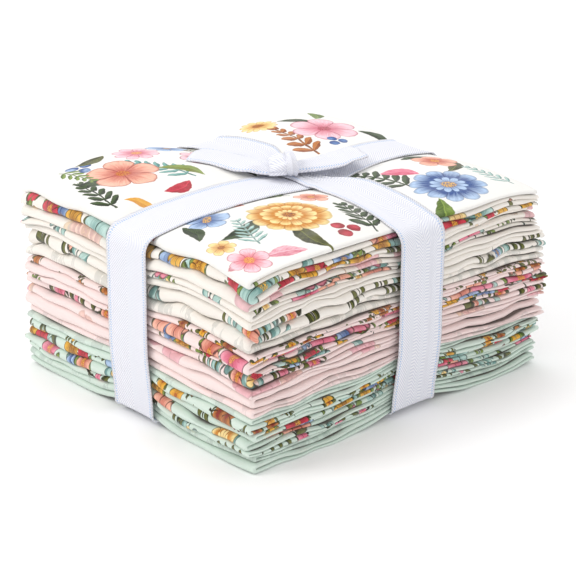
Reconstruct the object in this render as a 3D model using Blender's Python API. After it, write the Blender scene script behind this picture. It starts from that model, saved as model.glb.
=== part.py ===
"""A bundle of 21 folded fat quarters, tied both ways with a woven tape that is knotted on top.

Each fat quarter is one sheet, folded across its width and then in half, so that a smooth fold
faces -Y and the creases face +X. The tape squeezes the stack into four soft lobes.
"""

import math
from collections import namedtuple

import bmesh
import bpy
from mathutils import Matrix

MM = 0.001

# Folded size of one fat quarter, and the sheet that it is folded from
HALF_X = 101.5 * MM
HALF_Y = 114.0 * MM
SHEET = 1.05 * MM
LAYER_GAP = 0.30 * MM
PIECE_GAP = 0.35 * MM
PACK = 2 * SHEET + LAYER_GAP
SHORT_LAYER = 2.0 * MM
BEND_STEPS = 3

# The tape
TAPE_HALF_WIDTH = 17.0 * MM
TAPE_THICKNESS = 1.0 * MM
TAPE_EASE = 0.5 * MM
TAPE_CORNER_AT_FOLDS = 3.4 * MM
TAPE_CORNER_AT_EDGES = 1.0 * MM
TAPE_X = 0.0 * MM
TAPE_Y_AT_LEFT = 20.0 * MM
TAPE_Y_AT_CROSSING = 24.0 * MM
TAPE_Y_AT_RIGHT = 12.6 * MM
CROSSING_MARGIN = 2.5 * MM
CROSSING_EASE_OUT = 12.0 * MM
CROSSING_GAP = 0.35 * MM
SELVEDGE_STAND_OFF = 0.3 * MM
KNOT_GAP = 0.9 * MM

# Middle of each lobe, between the tape and the edge
LOBE_LEFT = -55.0 * MM
LOBE_RIGHT = 50.0 * MM
LOBE_FRONT = -48.0 * MM
LOBE_BACK = 68.0 * MM

# Places near the edges where a tape needs a bend of its own
SHOULDER_FRONT = -86.0 * MM
SHOULDERS_LEFT = (-85.0 * MM, -71.0 * MM)
SHOULDERS_RIGHT = (68.0 * MM, 85.0 * MM)

# How far the tape and the corners draw the edges in, in plan
WAIST = 1.6 * MM
CORNER_EASE = 1.2 * MM
SLIP_UNDER_TAPE = 0.25

# Top surface below its highest level, by where a point lies across and along the stack, in mm
TOP_DIP = {
    ("edge", "edge"): 9.0, ("edge", "lobe"): 4.0, ("edge", "tape"): 9.0,
    ("lobe", "edge"): 4.0, ("lobe", "lobe"): 0.0, ("lobe", "tape"): 4.0,
    ("tape", "edge"): 9.0, ("tape", "lobe"): 4.0, ("tape", "tape"): 8.0,
}
# Bottom surface above the table, in the same places, in mm
BOTTOM_LIFT = {
    ("edge", "edge"): 2.5, ("edge", "lobe"): 0.0, ("edge", "tape"): 5.0,
    ("lobe", "edge"): 0.0, ("lobe", "lobe"): 0.0, ("lobe", "tape"): 4.0,
    ("tape", "edge"): 5.0, ("tape", "lobe"): 4.0, ("tape", "tape"): 5.5,
}
# Extra height of each lobe on top, by its side in X and in Y, in mm
LOBE_PUFF = {(-1, -1): 1.5, (1, -1): 0.0, (-1, 1): -1.0, (1, 1): -1.0}

# One row for each fat quarter, from the table up: colourway, air inside the fold, slip along X and
# Y, turn at the corners, and how far the upper half falls short at the open end (tuck), in mm
FatQuarter = namedtuple("FatQuarter", "colour air slip_x slip_y turn tuck")
FAT_QUARTERS = [FatQuarter(*row) for row in (
    ("mint", 0.10, 1.6, 0.8, 0.4, 1.5),
    ("mint", 0.25, -0.6, 1.2, -0.5, 0.5),
    ("mint", 0.05, 1.0, -0.4, 0.8, 2.0),
    ("mint", 0.25, -1.4, -1.6, 0.2, 1.0),
    ("mint", 0.40, 0.4, 0.6, -0.9, 2.5),
    ("mint", 0.10, 1.8, -1.0, 0.5, 0.5),
    ("mint", 0.05, -0.8, 0.4, -0.3, 1.5),
    ("blush", 0.05, 0.6, 1.8, 0.9, 2.0),
    ("blush", 1.60, -1.8, 0.2, -0.6, 1.0),
    ("blush", 0.10, 1.2, -0.8, 0.3, 0.5),
    ("blush", 0.50, -0.4, 1.4, 1.0, 2.5),
    ("blush", 0.05, 1.6, 0.2, -0.8, 1.5),
    ("blush", 0.40, 0.2, -1.4, 0.6, 1.0),
    ("blush", 0.05, 1.8, 1.0, -0.4, 2.0),
    ("cream", 1.70, -1.0, 1.6, 0.7, 0.5),
    ("cream", 2.20, 1.4, 2.0, -0.7, 1.5),
    ("cream", 0.50, 0.8, 0.6, 0.4, 2.5),
    ("cream", 0.20, -1.2, -1.2, -0.9, 1.0),
    ("cream", 1.30, -2.0, -1.8, 0.5, 2.0),
    ("cream", 1.20, 0.6, -0.6, -0.2, 0.5),
    ("cream", 1.00, -0.4, 0.0, 0.6, 1.5),
)]

# The knot: its middle, the heading of its long axis, and a row for each section of it, in mm
KNOT_X = -13.0 * MM
KNOT_Y = 17.0 * MM
KNOT_HEADING = math.radians(55.0)
KnotSection = namedtuple("KnotSection", "place half_width height")
KNOT_SECTIONS = [KnotSection(*row) for row in (
    (-13.0, 8.0, 5.0),
    (-9.0, 11.5, 8.5),
    (-3.0, 14.0, 10.5),
    (4.0, 13.5, 10.5),
    (9.5, 11.0, 8.0),
    (13.0, 8.0, 5.0),
)]
KNOT_SIDES = 10

# Each tail of the tape, a row for each station from the knot out: its place, half width, rise
# above what lies below, and how much its middle stands above its edges (crown), in mm
TailStation = namedtuple("TailStation", "x y half_width rise crown")
TAIL_LEFT = [TailStation(*row) for row in (
    (-20.66, 6.05, 8.0, 3.0, 1.4),
    (-25.6, -0.4, 12.0, 4.4, 1.6),
    (-35.5, -6.5, 15.5, 3.4, 1.2),
    (-48.0, -10.5, 17.0, 1.6, 0.8),
    (-61.0, -13.5, 17.0, 0.9, 0.5),
)]
TAIL_RIGHT = [TailStation(*row) for row in (
    (-5.34, 27.94, 8.0, 3.0, 1.4),
    (-1.0, 34.2, 12.0, 4.6, 1.6),
    (-1.6, 45.0, 15.5, 4.6, 1.2),
    (-5.0, 57.0, 17.0, 4.0, 0.8),
    (-8.5, 69.0, 17.0, 3.4, 0.6),
)]
TAIL_CROWN_SHARE = 0.4

# Edges that bend more than this are shaded sharp
SHARP_ANGLE = math.radians(50.0)

COLOURS = {
    "cream": (0.93, 0.91, 0.87),
    "blush": (0.90, 0.74, 0.71),
    "mint": (0.72, 0.80, 0.72),
    "tape": (0.88, 0.90, 0.95),
}

STATION_KINDS = ("edge", "lobe", "tape", "lobe", "edge")
X_STATIONS = (-HALF_X, LOBE_LEFT, TAPE_X, LOBE_RIGHT, HALF_X)
TAPE_STATION = 2
LAST_STATION = 4


def row_height(row):
    """Height of one folded fat quarter where nothing squeezes it."""
    return 2 * PACK + row.air * MM


STACK_HEIGHT = sum(row_height(row) for row in FAT_QUARTERS) + PIECE_GAP * (len(FAT_QUARTERS) - 1)


def clear_scene():
    for old in list(bpy.data.objects):
        bpy.data.objects.remove(old, do_unlink=True)


def make_material(name):
    material = bpy.data.materials.new(name)
    material.use_nodes = True
    shader = material.node_tree.nodes["Principled BSDF"]
    shader.inputs["Base Color"].default_value = (*COLOURS[name], 1.0)
    shader.inputs["Roughness"].default_value = 0.85
    shader.inputs["Metallic"].default_value = 0.0
    return material


def mix(a, b, share):
    return a + (b - a) * share


def tape_y(x):
    """Middle of the tape that runs along X, on the top and under the stack."""
    if x < TAPE_X:
        return mix(TAPE_Y_AT_LEFT, TAPE_Y_AT_CROSSING, (x + HALF_X) / (TAPE_X + HALF_X))
    return mix(TAPE_Y_AT_CROSSING, TAPE_Y_AT_RIGHT, (x - TAPE_X) / (HALF_X - TAPE_X))


def y_stations(x):
    return (-HALF_Y, LOBE_FRONT, tape_y(x), LOBE_BACK, HALF_Y)


def station_height(table, i, j, sign):
    """Height in the table's place, with the lobe's own puff where the table is the top's."""
    height = table[(STATION_KINDS[i], STATION_KINDS[j])]
    side_x = -1 if i < TAPE_STATION else 1
    side_y = -1 if j < TAPE_STATION else 1
    if sign < 0 and i != TAPE_STATION and j != TAPE_STATION:
        height -= LOBE_PUFF[(side_x, side_y)]
    return height * MM


def cell_of(value, stations):
    for index in range(LAST_STATION - 1):
        if value < stations[index + 1]:
            return index
    return LAST_STATION - 1


def cuts_corner(i, j):
    """True where a cell's diagonal joins its lower right and upper left corners."""
    return (i < TAPE_STATION) == (j < TAPE_STATION)


def sheet_height(table, sign, x, y):
    """Height of the pillowed surface at a point, on the same flat facets as the cloth has."""
    stations = y_stations(x)
    i = cell_of(x, X_STATIONS)
    j = cell_of(y, stations)
    s = (x - X_STATIONS[i]) / (X_STATIONS[i + 1] - X_STATIONS[i])
    t = (y - stations[j]) / (stations[j + 1] - stations[j])
    low_left = station_height(table, i, j, sign)
    low_right = station_height(table, i + 1, j, sign)
    high_left = station_height(table, i, j + 1, sign)
    high_right = station_height(table, i + 1, j + 1, sign)
    if cuts_corner(i, j):
        if s + t <= 1:
            return low_left + s * (low_right - low_left) + t * (high_left - low_left)
        return high_right + (1 - s) * (high_left - high_right) + (1 - t) * (low_right - high_right)
    if s >= t:
        return low_left + s * (low_right - low_left) + t * (high_right - low_right)
    return low_left + t * (high_left - low_left) + s * (high_right - high_left)


def top_of_stack(x, y):
    return STACK_HEIGHT - sheet_height(TOP_DIP, -1, x, y)


def under_stack(x, y):
    return sheet_height(BOTTOM_LIFT, 1, x, y)


def squeeze(x, y, level):
    """Real height of a point whose height in the unsqueezed stack is level."""
    low = under_stack(x, y)
    return low + level / STACK_HEIGHT * (top_of_stack(x, y) - low)


def edge_shift(kind, slip, turn, along):
    """How far an edge point moves from its plain place: by the row's slip and turn."""
    if kind == "tape":
        return slip * SLIP_UNDER_TAPE
    return slip + turn * along


def edge_inset(kind):
    """How far an edge point is drawn in, in plan."""
    return {"tape": WAIST, "edge": CORNER_EASE, "lobe": 0.0}[kind]


def column_x(row, i, j, short=0.0):
    """X of a fat quarter's station i, at its station j along Y."""
    if 0 < i < LAST_STATION:
        return X_STATIONS[i]
    kind = STATION_KINDS[j]
    along = (j - TAPE_STATION) / TAPE_STATION
    shift = edge_shift(kind, row.slip_x * MM, row.turn * MM, along)
    if i == 0:
        return -HALF_X + shift + edge_inset(kind) + short
    return HALF_X + shift - edge_inset(kind)


def row_y(row, i, j, x, short=0.0):
    """Y of a fat quarter's station j, at its station i along X."""
    if 0 < j < LAST_STATION:
        return y_stations(x)[j]
    kind = STATION_KINDS[i]
    along = (TAPE_STATION - i) / TAPE_STATION
    shift = edge_shift(kind, row.slip_y * MM, row.turn * MM, along)
    if j == 0:
        return -HALF_Y + shift + edge_inset(kind)
    return HALF_Y + shift - edge_inset(kind) - short


def fold_walk():
    """Stations of one trip out and back: index, which leg, and the angle inside the fold."""
    out = [(i, 1, 0.0) for i in range(LAST_STATION + 1)]
    bend = [(LAST_STATION, 0, math.pi * k / BEND_STEPS) for k in range(1, BEND_STEPS)]
    back = [(i, -1, math.pi) for i in range(LAST_STATION, -1, -1)]
    return out + bend + back


def fat_quarter_point(row, level, across, along, outside):
    """A point of the sheet: across is its place in the first fold, along in the second."""
    i, _, crease = across
    j_from_back, leg, fold = along
    j = LAST_STATION - j_from_back
    reach = PACK / 2 if outside else LAYER_GAP / 2
    normal = reach * math.cos(crease)
    short = SHORT_LAYER if normal < 0 else 0.0
    x = column_x(row, i, j, short)
    if i == LAST_STATION:
        x += -PACK / 2 + reach * math.sin(crease)
    radius = (row.air * MM + PACK) / 2 + normal
    y = row_y(row, i, j, x, row.tuck * MM if leg > 0 else 0.0)
    if j == 0:
        y += row_height(row) / 2 - radius * math.sin(fold)
    z = level + row_height(row) / 2 + radius * math.cos(fold)
    return (x, y, squeeze(x, y, z))


def split_quad(mesh, corners, cut_corner):
    """Two triangles for one quad, along the diagonal that every layer shares."""
    a, b, c, d = corners
    if cut_corner:
        mesh.faces.new((a, b, d))
        mesh.faces.new((b, c, d))
    else:
        mesh.faces.new((a, b, c))
        mesh.faces.new((a, c, d))


def finish_mesh(mesh, name, material):
    bmesh.ops.recalc_face_normals(mesh, faces=mesh.faces)
    data = bpy.data.meshes.new(name)
    mesh.to_mesh(data)
    mesh.free()
    data.materials.append(material)
    data.shade_smooth()
    data.set_sharp_from_angle(angle=SHARP_ANGLE)
    piece = bpy.data.objects.new(name, data)
    bpy.context.scene.collection.objects.link(piece)
    return piece


def build_fat_quarter(name, row, level, material):
    """One folded sheet: a grid with an outer and an inner face, walled along its cut edges."""
    mesh = bmesh.new()
    walk = fold_walk()
    sides = []
    for outside in (True, False):
        grid = []
        for along in walk:
            points = [fat_quarter_point(row, level, across, along, outside) for across in walk]
            grid.append([mesh.verts.new(point) for point in points])
        sides.append(grid)
    last = len(walk) - 1
    for grid in sides:
        for b in range(last):
            for a in range(last):
                corners = (grid[b][a], grid[b][a + 1], grid[b + 1][a + 1], grid[b + 1][a])
                i = min(walk[a][0], walk[a + 1][0])
                j = LAST_STATION - max(walk[b][0], walk[b + 1][0])
                flips = (walk[a][1] < 0) != (walk[b][1] >= 0)
                split_quad(mesh, corners, cuts_corner(min(i, LAST_STATION - 1), j) != flips)
    outer, inner = sides
    for k in range(last):
        mesh.faces.new((outer[0][k], outer[0][k + 1], inner[0][k + 1], inner[0][k]))
        mesh.faces.new((outer[last][k], outer[last][k + 1], inner[last][k + 1], inner[last][k]))
        mesh.faces.new((outer[k][0], outer[k + 1][0], inner[k + 1][0], inner[k][0]))
        mesh.faces.new((outer[k][last], outer[k + 1][last], inner[k + 1][last], inner[k][last]))
    return finish_mesh(mesh, name, material)


def build_strip(name, lines, material, closed):
    """A band from stations of inner and outer points, closed into a ring or with two ends."""
    mesh = bmesh.new()
    rings = []
    for inner, outer in lines:
        rings.append([mesh.verts.new(point) for point in list(inner) + list(reversed(outer))])
    count = len(rings[0])
    steps = len(rings) if closed else len(rings) - 1
    for k in range(steps):
        here = rings[k]
        there = rings[(k + 1) % len(rings)]
        for m in range(count):
            n = (m + 1) % count
            mesh.faces.new((here[m], here[n], there[n], there[m]))
    if not closed:
        half = count // 2
        for ring in (rings[0], rings[-1]):
            for m in range(half - 1):
                mesh.faces.new((ring[m], ring[m + 1], ring[count - 2 - m], ring[count - 1 - m]))
    bmesh.ops.triangulate(mesh, faces=mesh.faces)
    return finish_mesh(mesh, name, material)


def arc(centre, radius, start, end, steps=3):
    """Points (horizontal, vertical) on a quarter turn, angles in degrees."""
    angles = [math.radians(mix(start, end, k / steps)) for k in range(steps + 1)]
    return [(centre[0] + radius * math.cos(a), centre[1] + radius * math.sin(a)) for a in angles]


def loop_path(low, high, low_corner, inner_stations, top, under):
    """A closed path round the stack in one plane: over the top, down, under it and up.

    low and high are the tape's places beside the stack, low_corner is its bend at the low
    side, and top and under give its heights.
    """
    a = low_corner
    b = TAPE_CORNER_AT_EDGES
    path = [(h, top(h)) for h in inner_stations]
    path += arc((high - b, top(high - b) - b), b, 90, 0)
    path += arc((high - b, under(high - b) + b), b, 0, -90)
    path += [(h, under(h)) for h in reversed(inner_stations)]
    path += arc((low + a, under(low + a) + a), a, 270, 180)
    path += arc((low + a, top(low + a) - a), a, 180, 90)
    return path


def outward(path, k):
    """Unit normal of a closed clockwise path at its point k."""
    before = path[k - 1]
    after = path[(k + 1) % len(path)]
    run = (after[0] - before[0], after[1] - before[1])
    length = math.hypot(*run)
    return (-run[1] / length, run[0] / length)


def with_middles(stations):
    """The stations with a point half way between each two."""
    result = [stations[0]]
    for before, after in zip(stations, stations[1:]):
        result += [mix(before, after, 0.5), after]
    return result


def side_places(edge_of_row):
    """How far the rows under the tape reach, to low and to high."""
    low = min(edge_of_row(row, 0) for row in FAT_QUARTERS)
    high = max(edge_of_row(row, LAST_STATION) for row in FAT_QUARTERS)
    return low - TAPE_EASE, high + TAPE_EASE


def waist_beside_tape(offset, lobe_distance):
    """How much further out the cloth stands at a distance from the tape's middle."""
    return WAIST * abs(offset) / lobe_distance + SELVEDGE_STAND_OFF * abs(offset) / TAPE_HALF_WIDTH


def build_depth_loop(material):
    """The tape that runs along Y over the top, and down the -Y and +Y sides."""
    low, high = side_places(lambda row, j: row_y(row, TAPE_STATION, j, TAPE_X))
    columns = []
    for offset in (-TAPE_HALF_WIDTH, 0.0, TAPE_HALF_WIDTH):
        x = TAPE_X + offset
        extra = waist_beside_tape(offset, LOBE_RIGHT - TAPE_X)
        inner_stations = with_middles([SHOULDER_FRONT, LOBE_FRONT, tape_y(x), LOBE_BACK])
        path = loop_path(
            low - extra, high + extra, TAPE_CORNER_AT_FOLDS, inner_stations,
            lambda y: top_of_stack(x, y) + TAPE_EASE,
            lambda y: under_stack(x, y) - TAPE_EASE,
        )
        columns.append((x, path))
    lines = []
    for k in range(len(columns[0][1])):
        inner = [(x, path[k][0], path[k][1]) for x, path in columns]
        outer = []
        for x, path in columns:
            normal = outward(path, k)
            outer.append((
                x,
                path[k][0] + normal[0] * TAPE_THICKNESS,
                path[k][1] + normal[1] * TAPE_THICKNESS,
            ))
        lines.append((inner, outer))
    return build_strip("tape_depth_loop", lines, material, closed=True)


def crossing_rise(x):
    """How much further out the width loop lies where it crosses the depth loop."""
    full = TAPE_THICKNESS + CROSSING_GAP
    away = abs(x - TAPE_X) - TAPE_HALF_WIDTH - CROSSING_MARGIN
    return full * min(1.0, max(0.0, 1.0 - away / CROSSING_EASE_OUT))


def build_width_loop(material):
    """The tape that runs along X over the top, and down the +X and -X sides."""
    low, high = side_places(lambda row, i: column_x(row, i, TAPE_STATION))
    near = TAPE_HALF_WIDTH + CROSSING_MARGIN
    far = near + CROSSING_EASE_OUT
    inner_stations = [
        *SHOULDERS_LEFT, LOBE_LEFT, TAPE_X - far, TAPE_X - near, TAPE_X,
        TAPE_X + near, TAPE_X + far, LOBE_RIGHT, *SHOULDERS_RIGHT,
    ]
    columns = []
    for offset in (-TAPE_HALF_WIDTH, 0.0, TAPE_HALF_WIDTH):
        extra = waist_beside_tape(offset, LOBE_BACK - TAPE_Y_AT_CROSSING)
        path = loop_path(
            low - extra, high + extra, TAPE_CORNER_AT_EDGES, inner_stations,
            lambda x: top_of_stack(x, tape_y(x) + offset) + TAPE_EASE + crossing_rise(x),
            lambda x: under_stack(x, tape_y(x) + offset) - TAPE_EASE - crossing_rise(x),
        )
        columns.append((offset, path))
    lines = []
    for k in range(len(columns[0][1])):
        inner = []
        outer = []
        for offset, path in columns:
            x, z = path[k]
            normal = outward(path, k)
            y = tape_y(max(-HALF_X, min(HALF_X, x))) + offset
            inner.append((x, y, z))
            outer.append((x + normal[0] * TAPE_THICKNESS, y, z + normal[1] * TAPE_THICKNESS))
        lines.append((inner, outer))
    return build_strip("tape_width_loop", lines, material, closed=True)


def top_of_tapes(x, y):
    """Highest surface at a point of the top: the cloth, one tape or both."""
    height = top_of_stack(x, y)
    on_depth = abs(x - TAPE_X) <= TAPE_HALF_WIDTH + CROSSING_MARGIN
    on_width = abs(y - tape_y(x)) <= TAPE_HALF_WIDTH + CROSSING_MARGIN
    if on_width:
        return height + TAPE_EASE + TAPE_THICKNESS + crossing_rise(x)
    if on_depth:
        return height + TAPE_EASE + TAPE_THICKNESS
    return height


def build_knot(material):
    """The knot: a lump that narrows to each side, its underside on the crossed tapes."""
    along = (math.cos(KNOT_HEADING), math.sin(KNOT_HEADING))
    aside = (-along[1], along[0])
    mesh = bmesh.new()
    rings = []
    for section in KNOT_SECTIONS:
        ring = []
        for k in range(KNOT_SIDES):
            angle = 2 * math.pi * (k + 0.5) / KNOT_SIDES
            across = section.half_width * math.cos(angle)
            x = KNOT_X + MM * (section.place * along[0] + across * aside[0])
            y = KNOT_Y + MM * (section.place * along[1] + across * aside[1])
            rise = section.height * MM * (1 + math.sin(angle)) / 2
            ring.append(mesh.verts.new((x, y, top_of_tapes(x, y) + KNOT_GAP + rise)))
        rings.append(ring)
    for here, there in zip(rings, rings[1:]):
        for k in range(KNOT_SIDES):
            n = (k + 1) % KNOT_SIDES
            mesh.faces.new((here[k], here[n], there[n], there[k]))
    mesh.faces.new(rings[0])
    mesh.faces.new(rings[-1])
    bmesh.ops.triangulate(mesh, faces=mesh.faces)
    return finish_mesh(mesh, "tape_knot", material)


def build_tail(name, stations, material):
    """A free end of the tape, gathered at the knot and lying flatter further out."""
    lines = []
    for k, station in enumerate(stations):
        before = stations[max(k - 1, 0)]
        after = stations[min(k + 1, len(stations) - 1)]
        run = (after.x - before.x, after.y - before.y)
        length = math.hypot(*run)
        aside = (-run[1] / length, run[0] / length)
        crowned = (TAIL_CROWN_SHARE, station.crown)
        inner = []
        outer = []
        for share, lift in ((-1.0, 0.0), (-crowned[0], crowned[1]), crowned, (1.0, 0.0)):
            x = (station.x + share * station.half_width * aside[0]) * MM
            y = (station.y + share * station.half_width * aside[1]) * MM
            z = top_of_tapes(x, y) + (station.rise + lift) * MM
            inner.append((x, y, z))
            outer.append((x, y, z + TAPE_THICKNESS))
        lines.append((inner, outer))
    return build_strip(name, lines, material, closed=False)


def centre_in_plan(pieces):
    """Moves the pieces together so that their box is centred on the origin in X and Y."""
    points = [vertex.co for piece in pieces for vertex in piece.data.vertices]
    middle_x = (min(p.x for p in points) + max(p.x for p in points)) / 2
    middle_y = (min(p.y for p in points) + max(p.y for p in points)) / 2
    for piece in pieces:
        piece.data.transform(Matrix.Translation((-middle_x, -middle_y, 0.0)))


def build_bundle():
    clear_scene()
    materials = {name: make_material(name) for name in COLOURS}
    pieces = []
    level = 0.0
    for number, row in enumerate(FAT_QUARTERS, start=1):
        name = f"fat_quarter_{number:02d}"
        pieces.append(build_fat_quarter(name, row, level, materials[row.colour]))
        level += row_height(row) + PIECE_GAP
    tape = materials["tape"]
    pieces.append(build_depth_loop(tape))
    pieces.append(build_width_loop(tape))
    pieces.append(build_knot(tape))
    pieces.append(build_tail("tape_tail_left", TAIL_LEFT, tape))
    pieces.append(build_tail("tape_tail_right", TAIL_RIGHT, tape))
    centre_in_plan(pieces)


build_bundle()
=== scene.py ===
"""Looks of a bundle of 21 folded fat quarters, tied both ways with a herringbone tape.

Each fat quarter is a thin sheet that is folded in three across its width and then in half. The
sheets, the tape and its knot all follow one pillowed height map, so nothing passes through
anything else. Sizes are in millimetres until a mesh is made.
"""

import math
import random
from collections import namedtuple

import bpy
import numpy as np
from mathutils import Matrix, Vector


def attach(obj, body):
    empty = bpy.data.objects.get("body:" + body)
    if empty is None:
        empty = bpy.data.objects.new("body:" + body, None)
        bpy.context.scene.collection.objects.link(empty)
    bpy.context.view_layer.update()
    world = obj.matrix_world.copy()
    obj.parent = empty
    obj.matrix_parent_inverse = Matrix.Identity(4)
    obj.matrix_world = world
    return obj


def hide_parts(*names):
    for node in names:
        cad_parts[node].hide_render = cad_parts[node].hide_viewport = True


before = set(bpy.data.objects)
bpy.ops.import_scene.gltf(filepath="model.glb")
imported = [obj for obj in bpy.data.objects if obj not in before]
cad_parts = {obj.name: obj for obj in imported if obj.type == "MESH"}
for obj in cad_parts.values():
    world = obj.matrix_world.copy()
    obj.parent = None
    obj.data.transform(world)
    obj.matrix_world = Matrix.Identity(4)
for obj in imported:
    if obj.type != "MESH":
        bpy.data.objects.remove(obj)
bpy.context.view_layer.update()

MM = 0.001
TURN = 2 * math.pi

# The stack: half its folded size, and where its middle lies in the frame
HALF_X = 101.5
HALF_Y = 114.0
STACK_SHIFT = (0.18, -0.35)
PIECE_GAP = 0.35

# The cloth: its thickness, and the flat cut of one fat quarter
CLOTH = 0.36
THIRD_LAYER_END = 50.0

# Layers inside a piece: their distance from its middle as a share of half its height, how far
# the folds stand out (as a share, and how much that varies), and how far the raw edge falls short
SECOND_LAYER = 0.54
INMOST_LAYER = 0.16
CREASE_BULGE = (1.45, 0.4)
HALF_FOLD_BULGE = (1.15, 0.3)
HALF_FOLD_LIMITS = (0.7, 1.6)
RAW_EDGE_SHORT = (1.2, 0.5)
SECOND_SHORT = 0.6
THIRD_SHORT = 1.1
FOLD_SQUARENESS = 0.88

# The tape
TAPE_HALF = 17.0
TAPE_THICK = 0.8
TAPE_GAP = 0.45
TAPE_X = 0.0
TAPE_Y_AT_LEFT = 20.0
TAPE_Y_AT_CROSSING = 25.5
TAPE_Y_AT_RIGHT = 12.6
TAPE_FLAT = 14.0

# Middles of the lobes
LOBE_LEFT = -55.0
LOBE_RIGHT = 50.0
LOBE_FRONT = -48.0
LOBE_BACK = 68.0

# How far the edges are drawn in, in plan
WAIST = 1.6
CORNER_EASE = 0.5
SLIP_UNDER_TAPE = 0.25
RAGGED = 1.2

# The far right corner, where the middle rows stand out most
BULGE = 3.8
BULGE_ROW = 10.0
BULGE_ROWS = 5.5

# How far the upper rows are pushed in under the tape, from the top row down
ROUNDED_UNDER_TAPE = (5.2, 0.9, 0.3)

# Pieces near the edges: the gap between them, and how much their thickness varies
SHOWN_GAP = 0.20
UNEVEN = 0.40
UNEVEN_LIMIT = 0.9

# The uppermost cloth: how deep its placed creases are, and its own slight waves
WRINKLE_DEPTH = 1.4
WRINKLE_WAVES = 0.35
WRINKLE_OFF_TAPE = (TAPE_HALF - 1.0, TAPE_HALF + 9.0)

# Top surface below its highest level and bottom surface above the table, at five stations
# along X (rows) by five along Y (columns): edge, lobe, tape, lobe, edge
TOP_DIP = np.array([
    [9.5, 1.0, 11.5, 5.0, 9.0],
    [3.0, -1.5, 5.0, 1.0, 5.0],
    [11.5, 5.5, 8.5, 4.5, 9.0],
    [4.0, 0.0, 4.5, 1.0, 7.5],
    [9.5, 4.0, 10.5, 6.0, 10.5],
])
BOTTOM_LIFT = np.array([
    [2.5, 0.0, 5.0, 0.0, 2.5],
    [0.0, 0.0, 4.0, 0.0, 0.0],
    [5.0, 4.0, 5.5, 4.0, 5.0],
    [0.0, 0.0, 4.0, 0.0, 0.0],
    [0.4, 0.0, 5.0, 0.0, 2.5],
])

# One row for each fat quarter, from the table up: slot, print, folded height, its share of the
# height at the two sides that show, slip along X and Y, turn, and shortfall of the upper half
FatQuarter = namedtuple("FatQuarter", "slot design height shown slip_x slip_y turn tuck")
FAT_QUARTERS = [FatQuarter(*row) for row in (
    ("mint", "plain", 4.90, 8, 1.6, 0.8, 0.4, 1.5),
    ("mint", "dots", 5.05, 9, -0.6, 1.2, -0.5, 0.5),
    ("mint", "leaves", 4.85, 7, 1.0, -0.4, 0.8, 2.0),
    ("mint", "garden", 5.05, 9, -1.4, -1.6, 0.2, 1.0),
    ("mint", "posy", 5.20, 10, 0.4, 0.6, -0.9, 2.5),
    ("mint", "ditsy", 4.90, 8, 1.8, -1.0, 0.5, 0.5),
    ("mint", "tonal", 4.85, 6, -0.8, 0.4, -0.3, 1.5),
    ("blush", "tonal", 4.85, 7, 0.6, 1.8, 0.9, 2.0),
    ("blush", "plain", 6.40, 16, -1.8, 0.2, -0.6, 1.0),
    ("blush", "outline", 4.90, 8, 1.2, -0.8, 0.3, 0.5),
    ("blush", "leaves", 5.30, 11, -0.4, 1.4, 1.0, 2.5),
    ("blush", "posy", 4.85, 6, 1.6, 0.2, -0.8, 1.5),
    ("blush", "garden", 5.20, 10, 0.2, -1.4, 0.6, 1.0),
    ("blush", "ditsy", 4.85, 6, 1.8, 1.0, -0.4, 2.0),
    ("cream", "dots", 6.50, 14, -1.0, 1.6, 0.7, 0.5),
    ("cream", "leaves", 7.00, 16, 1.4, 2.0, -0.7, 1.5),
    ("cream", "plain", 5.30, 9, 0.8, 0.6, 0.4, 2.5),
    ("cream", "spray", 5.00, 7, -1.2, -1.2, -0.9, 1.0),
    ("cream", "outline", 6.10, 12, -2.0, -1.8, 0.5, 2.0),
    ("cream", "posy", 6.00, 11, 0.6, -0.6, -0.2, 0.5),
    ("cream", "garden", 5.80, 10, -0.4, 0.0, 0.6, 1.5),
)]
TOP_ROW = len(FAT_QUARTERS) - 1
STACK_HEIGHT = sum(row.height for row in FAT_QUARTERS) + PIECE_GAP * TOP_ROW


def mix(a, b, share):
    return a + (b - a) * share


def smooth(value, low, high):
    """0 below low, 1 above high, and an even curve between them."""
    t = np.clip((value - low) / (high - low), 0.0, 1.0)
    return t * t * (3 - 2 * t)


def tape_y(x):
    """Middle of the tape that runs along X, at a place along it."""
    left = mix(TAPE_Y_AT_LEFT, TAPE_Y_AT_CROSSING, (x + HALF_X) / (TAPE_X + HALF_X))
    right = mix(TAPE_Y_AT_CROSSING, TAPE_Y_AT_RIGHT, (x - TAPE_X) / (HALF_X - TAPE_X))
    return np.where(x < TAPE_X, left, right)


def station_shares(value, low_edge, low_lobe, tape, high_lobe, high_edge):
    """Shares of the five stations at each place; they add up to one."""
    low_side = value < tape
    lobe = np.where(low_side, low_lobe, high_lobe)
    edge = np.where(low_side, low_edge, high_edge)
    outward = np.clip((value - lobe) / (edge - lobe), 0.0, 1.1)
    inward = np.clip((np.abs(value - tape) - TAPE_FLAT) / (np.abs(lobe - tape) - TAPE_FLAT), 0.0, 1.0)
    edge_share = outward ** 2.2
    tape_share = (1 - inward) ** 2
    lobe_share = 1 - edge_share - tape_share
    none = np.zeros_like(lobe_share)
    return [
        np.where(low_side, edge_share, none),
        np.where(low_side, lobe_share, none),
        tape_share,
        np.where(low_side, none, lobe_share),
        np.where(low_side, none, edge_share),
    ]


def shares_x(x):
    return station_shares(x, -HALF_X, LOBE_LEFT, TAPE_X, LOBE_RIGHT, HALF_X)


def shares_y(x, y):
    return station_shares(y, -HALF_Y, LOBE_FRONT, tape_y(x), LOBE_BACK, HALF_Y)


def surface(table, x, y):
    """The table's value at each point, smooth between its stations."""
    along_x = shares_x(x)
    along_y = shares_y(x, y)
    total = 0.0
    for i in range(5):
        for j in range(5):
            total = total + along_x[i] * along_y[j] * table[i, j]
    return total


def top_of_stack(x, y):
    return STACK_HEIGHT - surface(TOP_DIP, x, y)


def under_stack(x, y):
    return surface(BOTTOM_LIFT, x, y)


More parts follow.
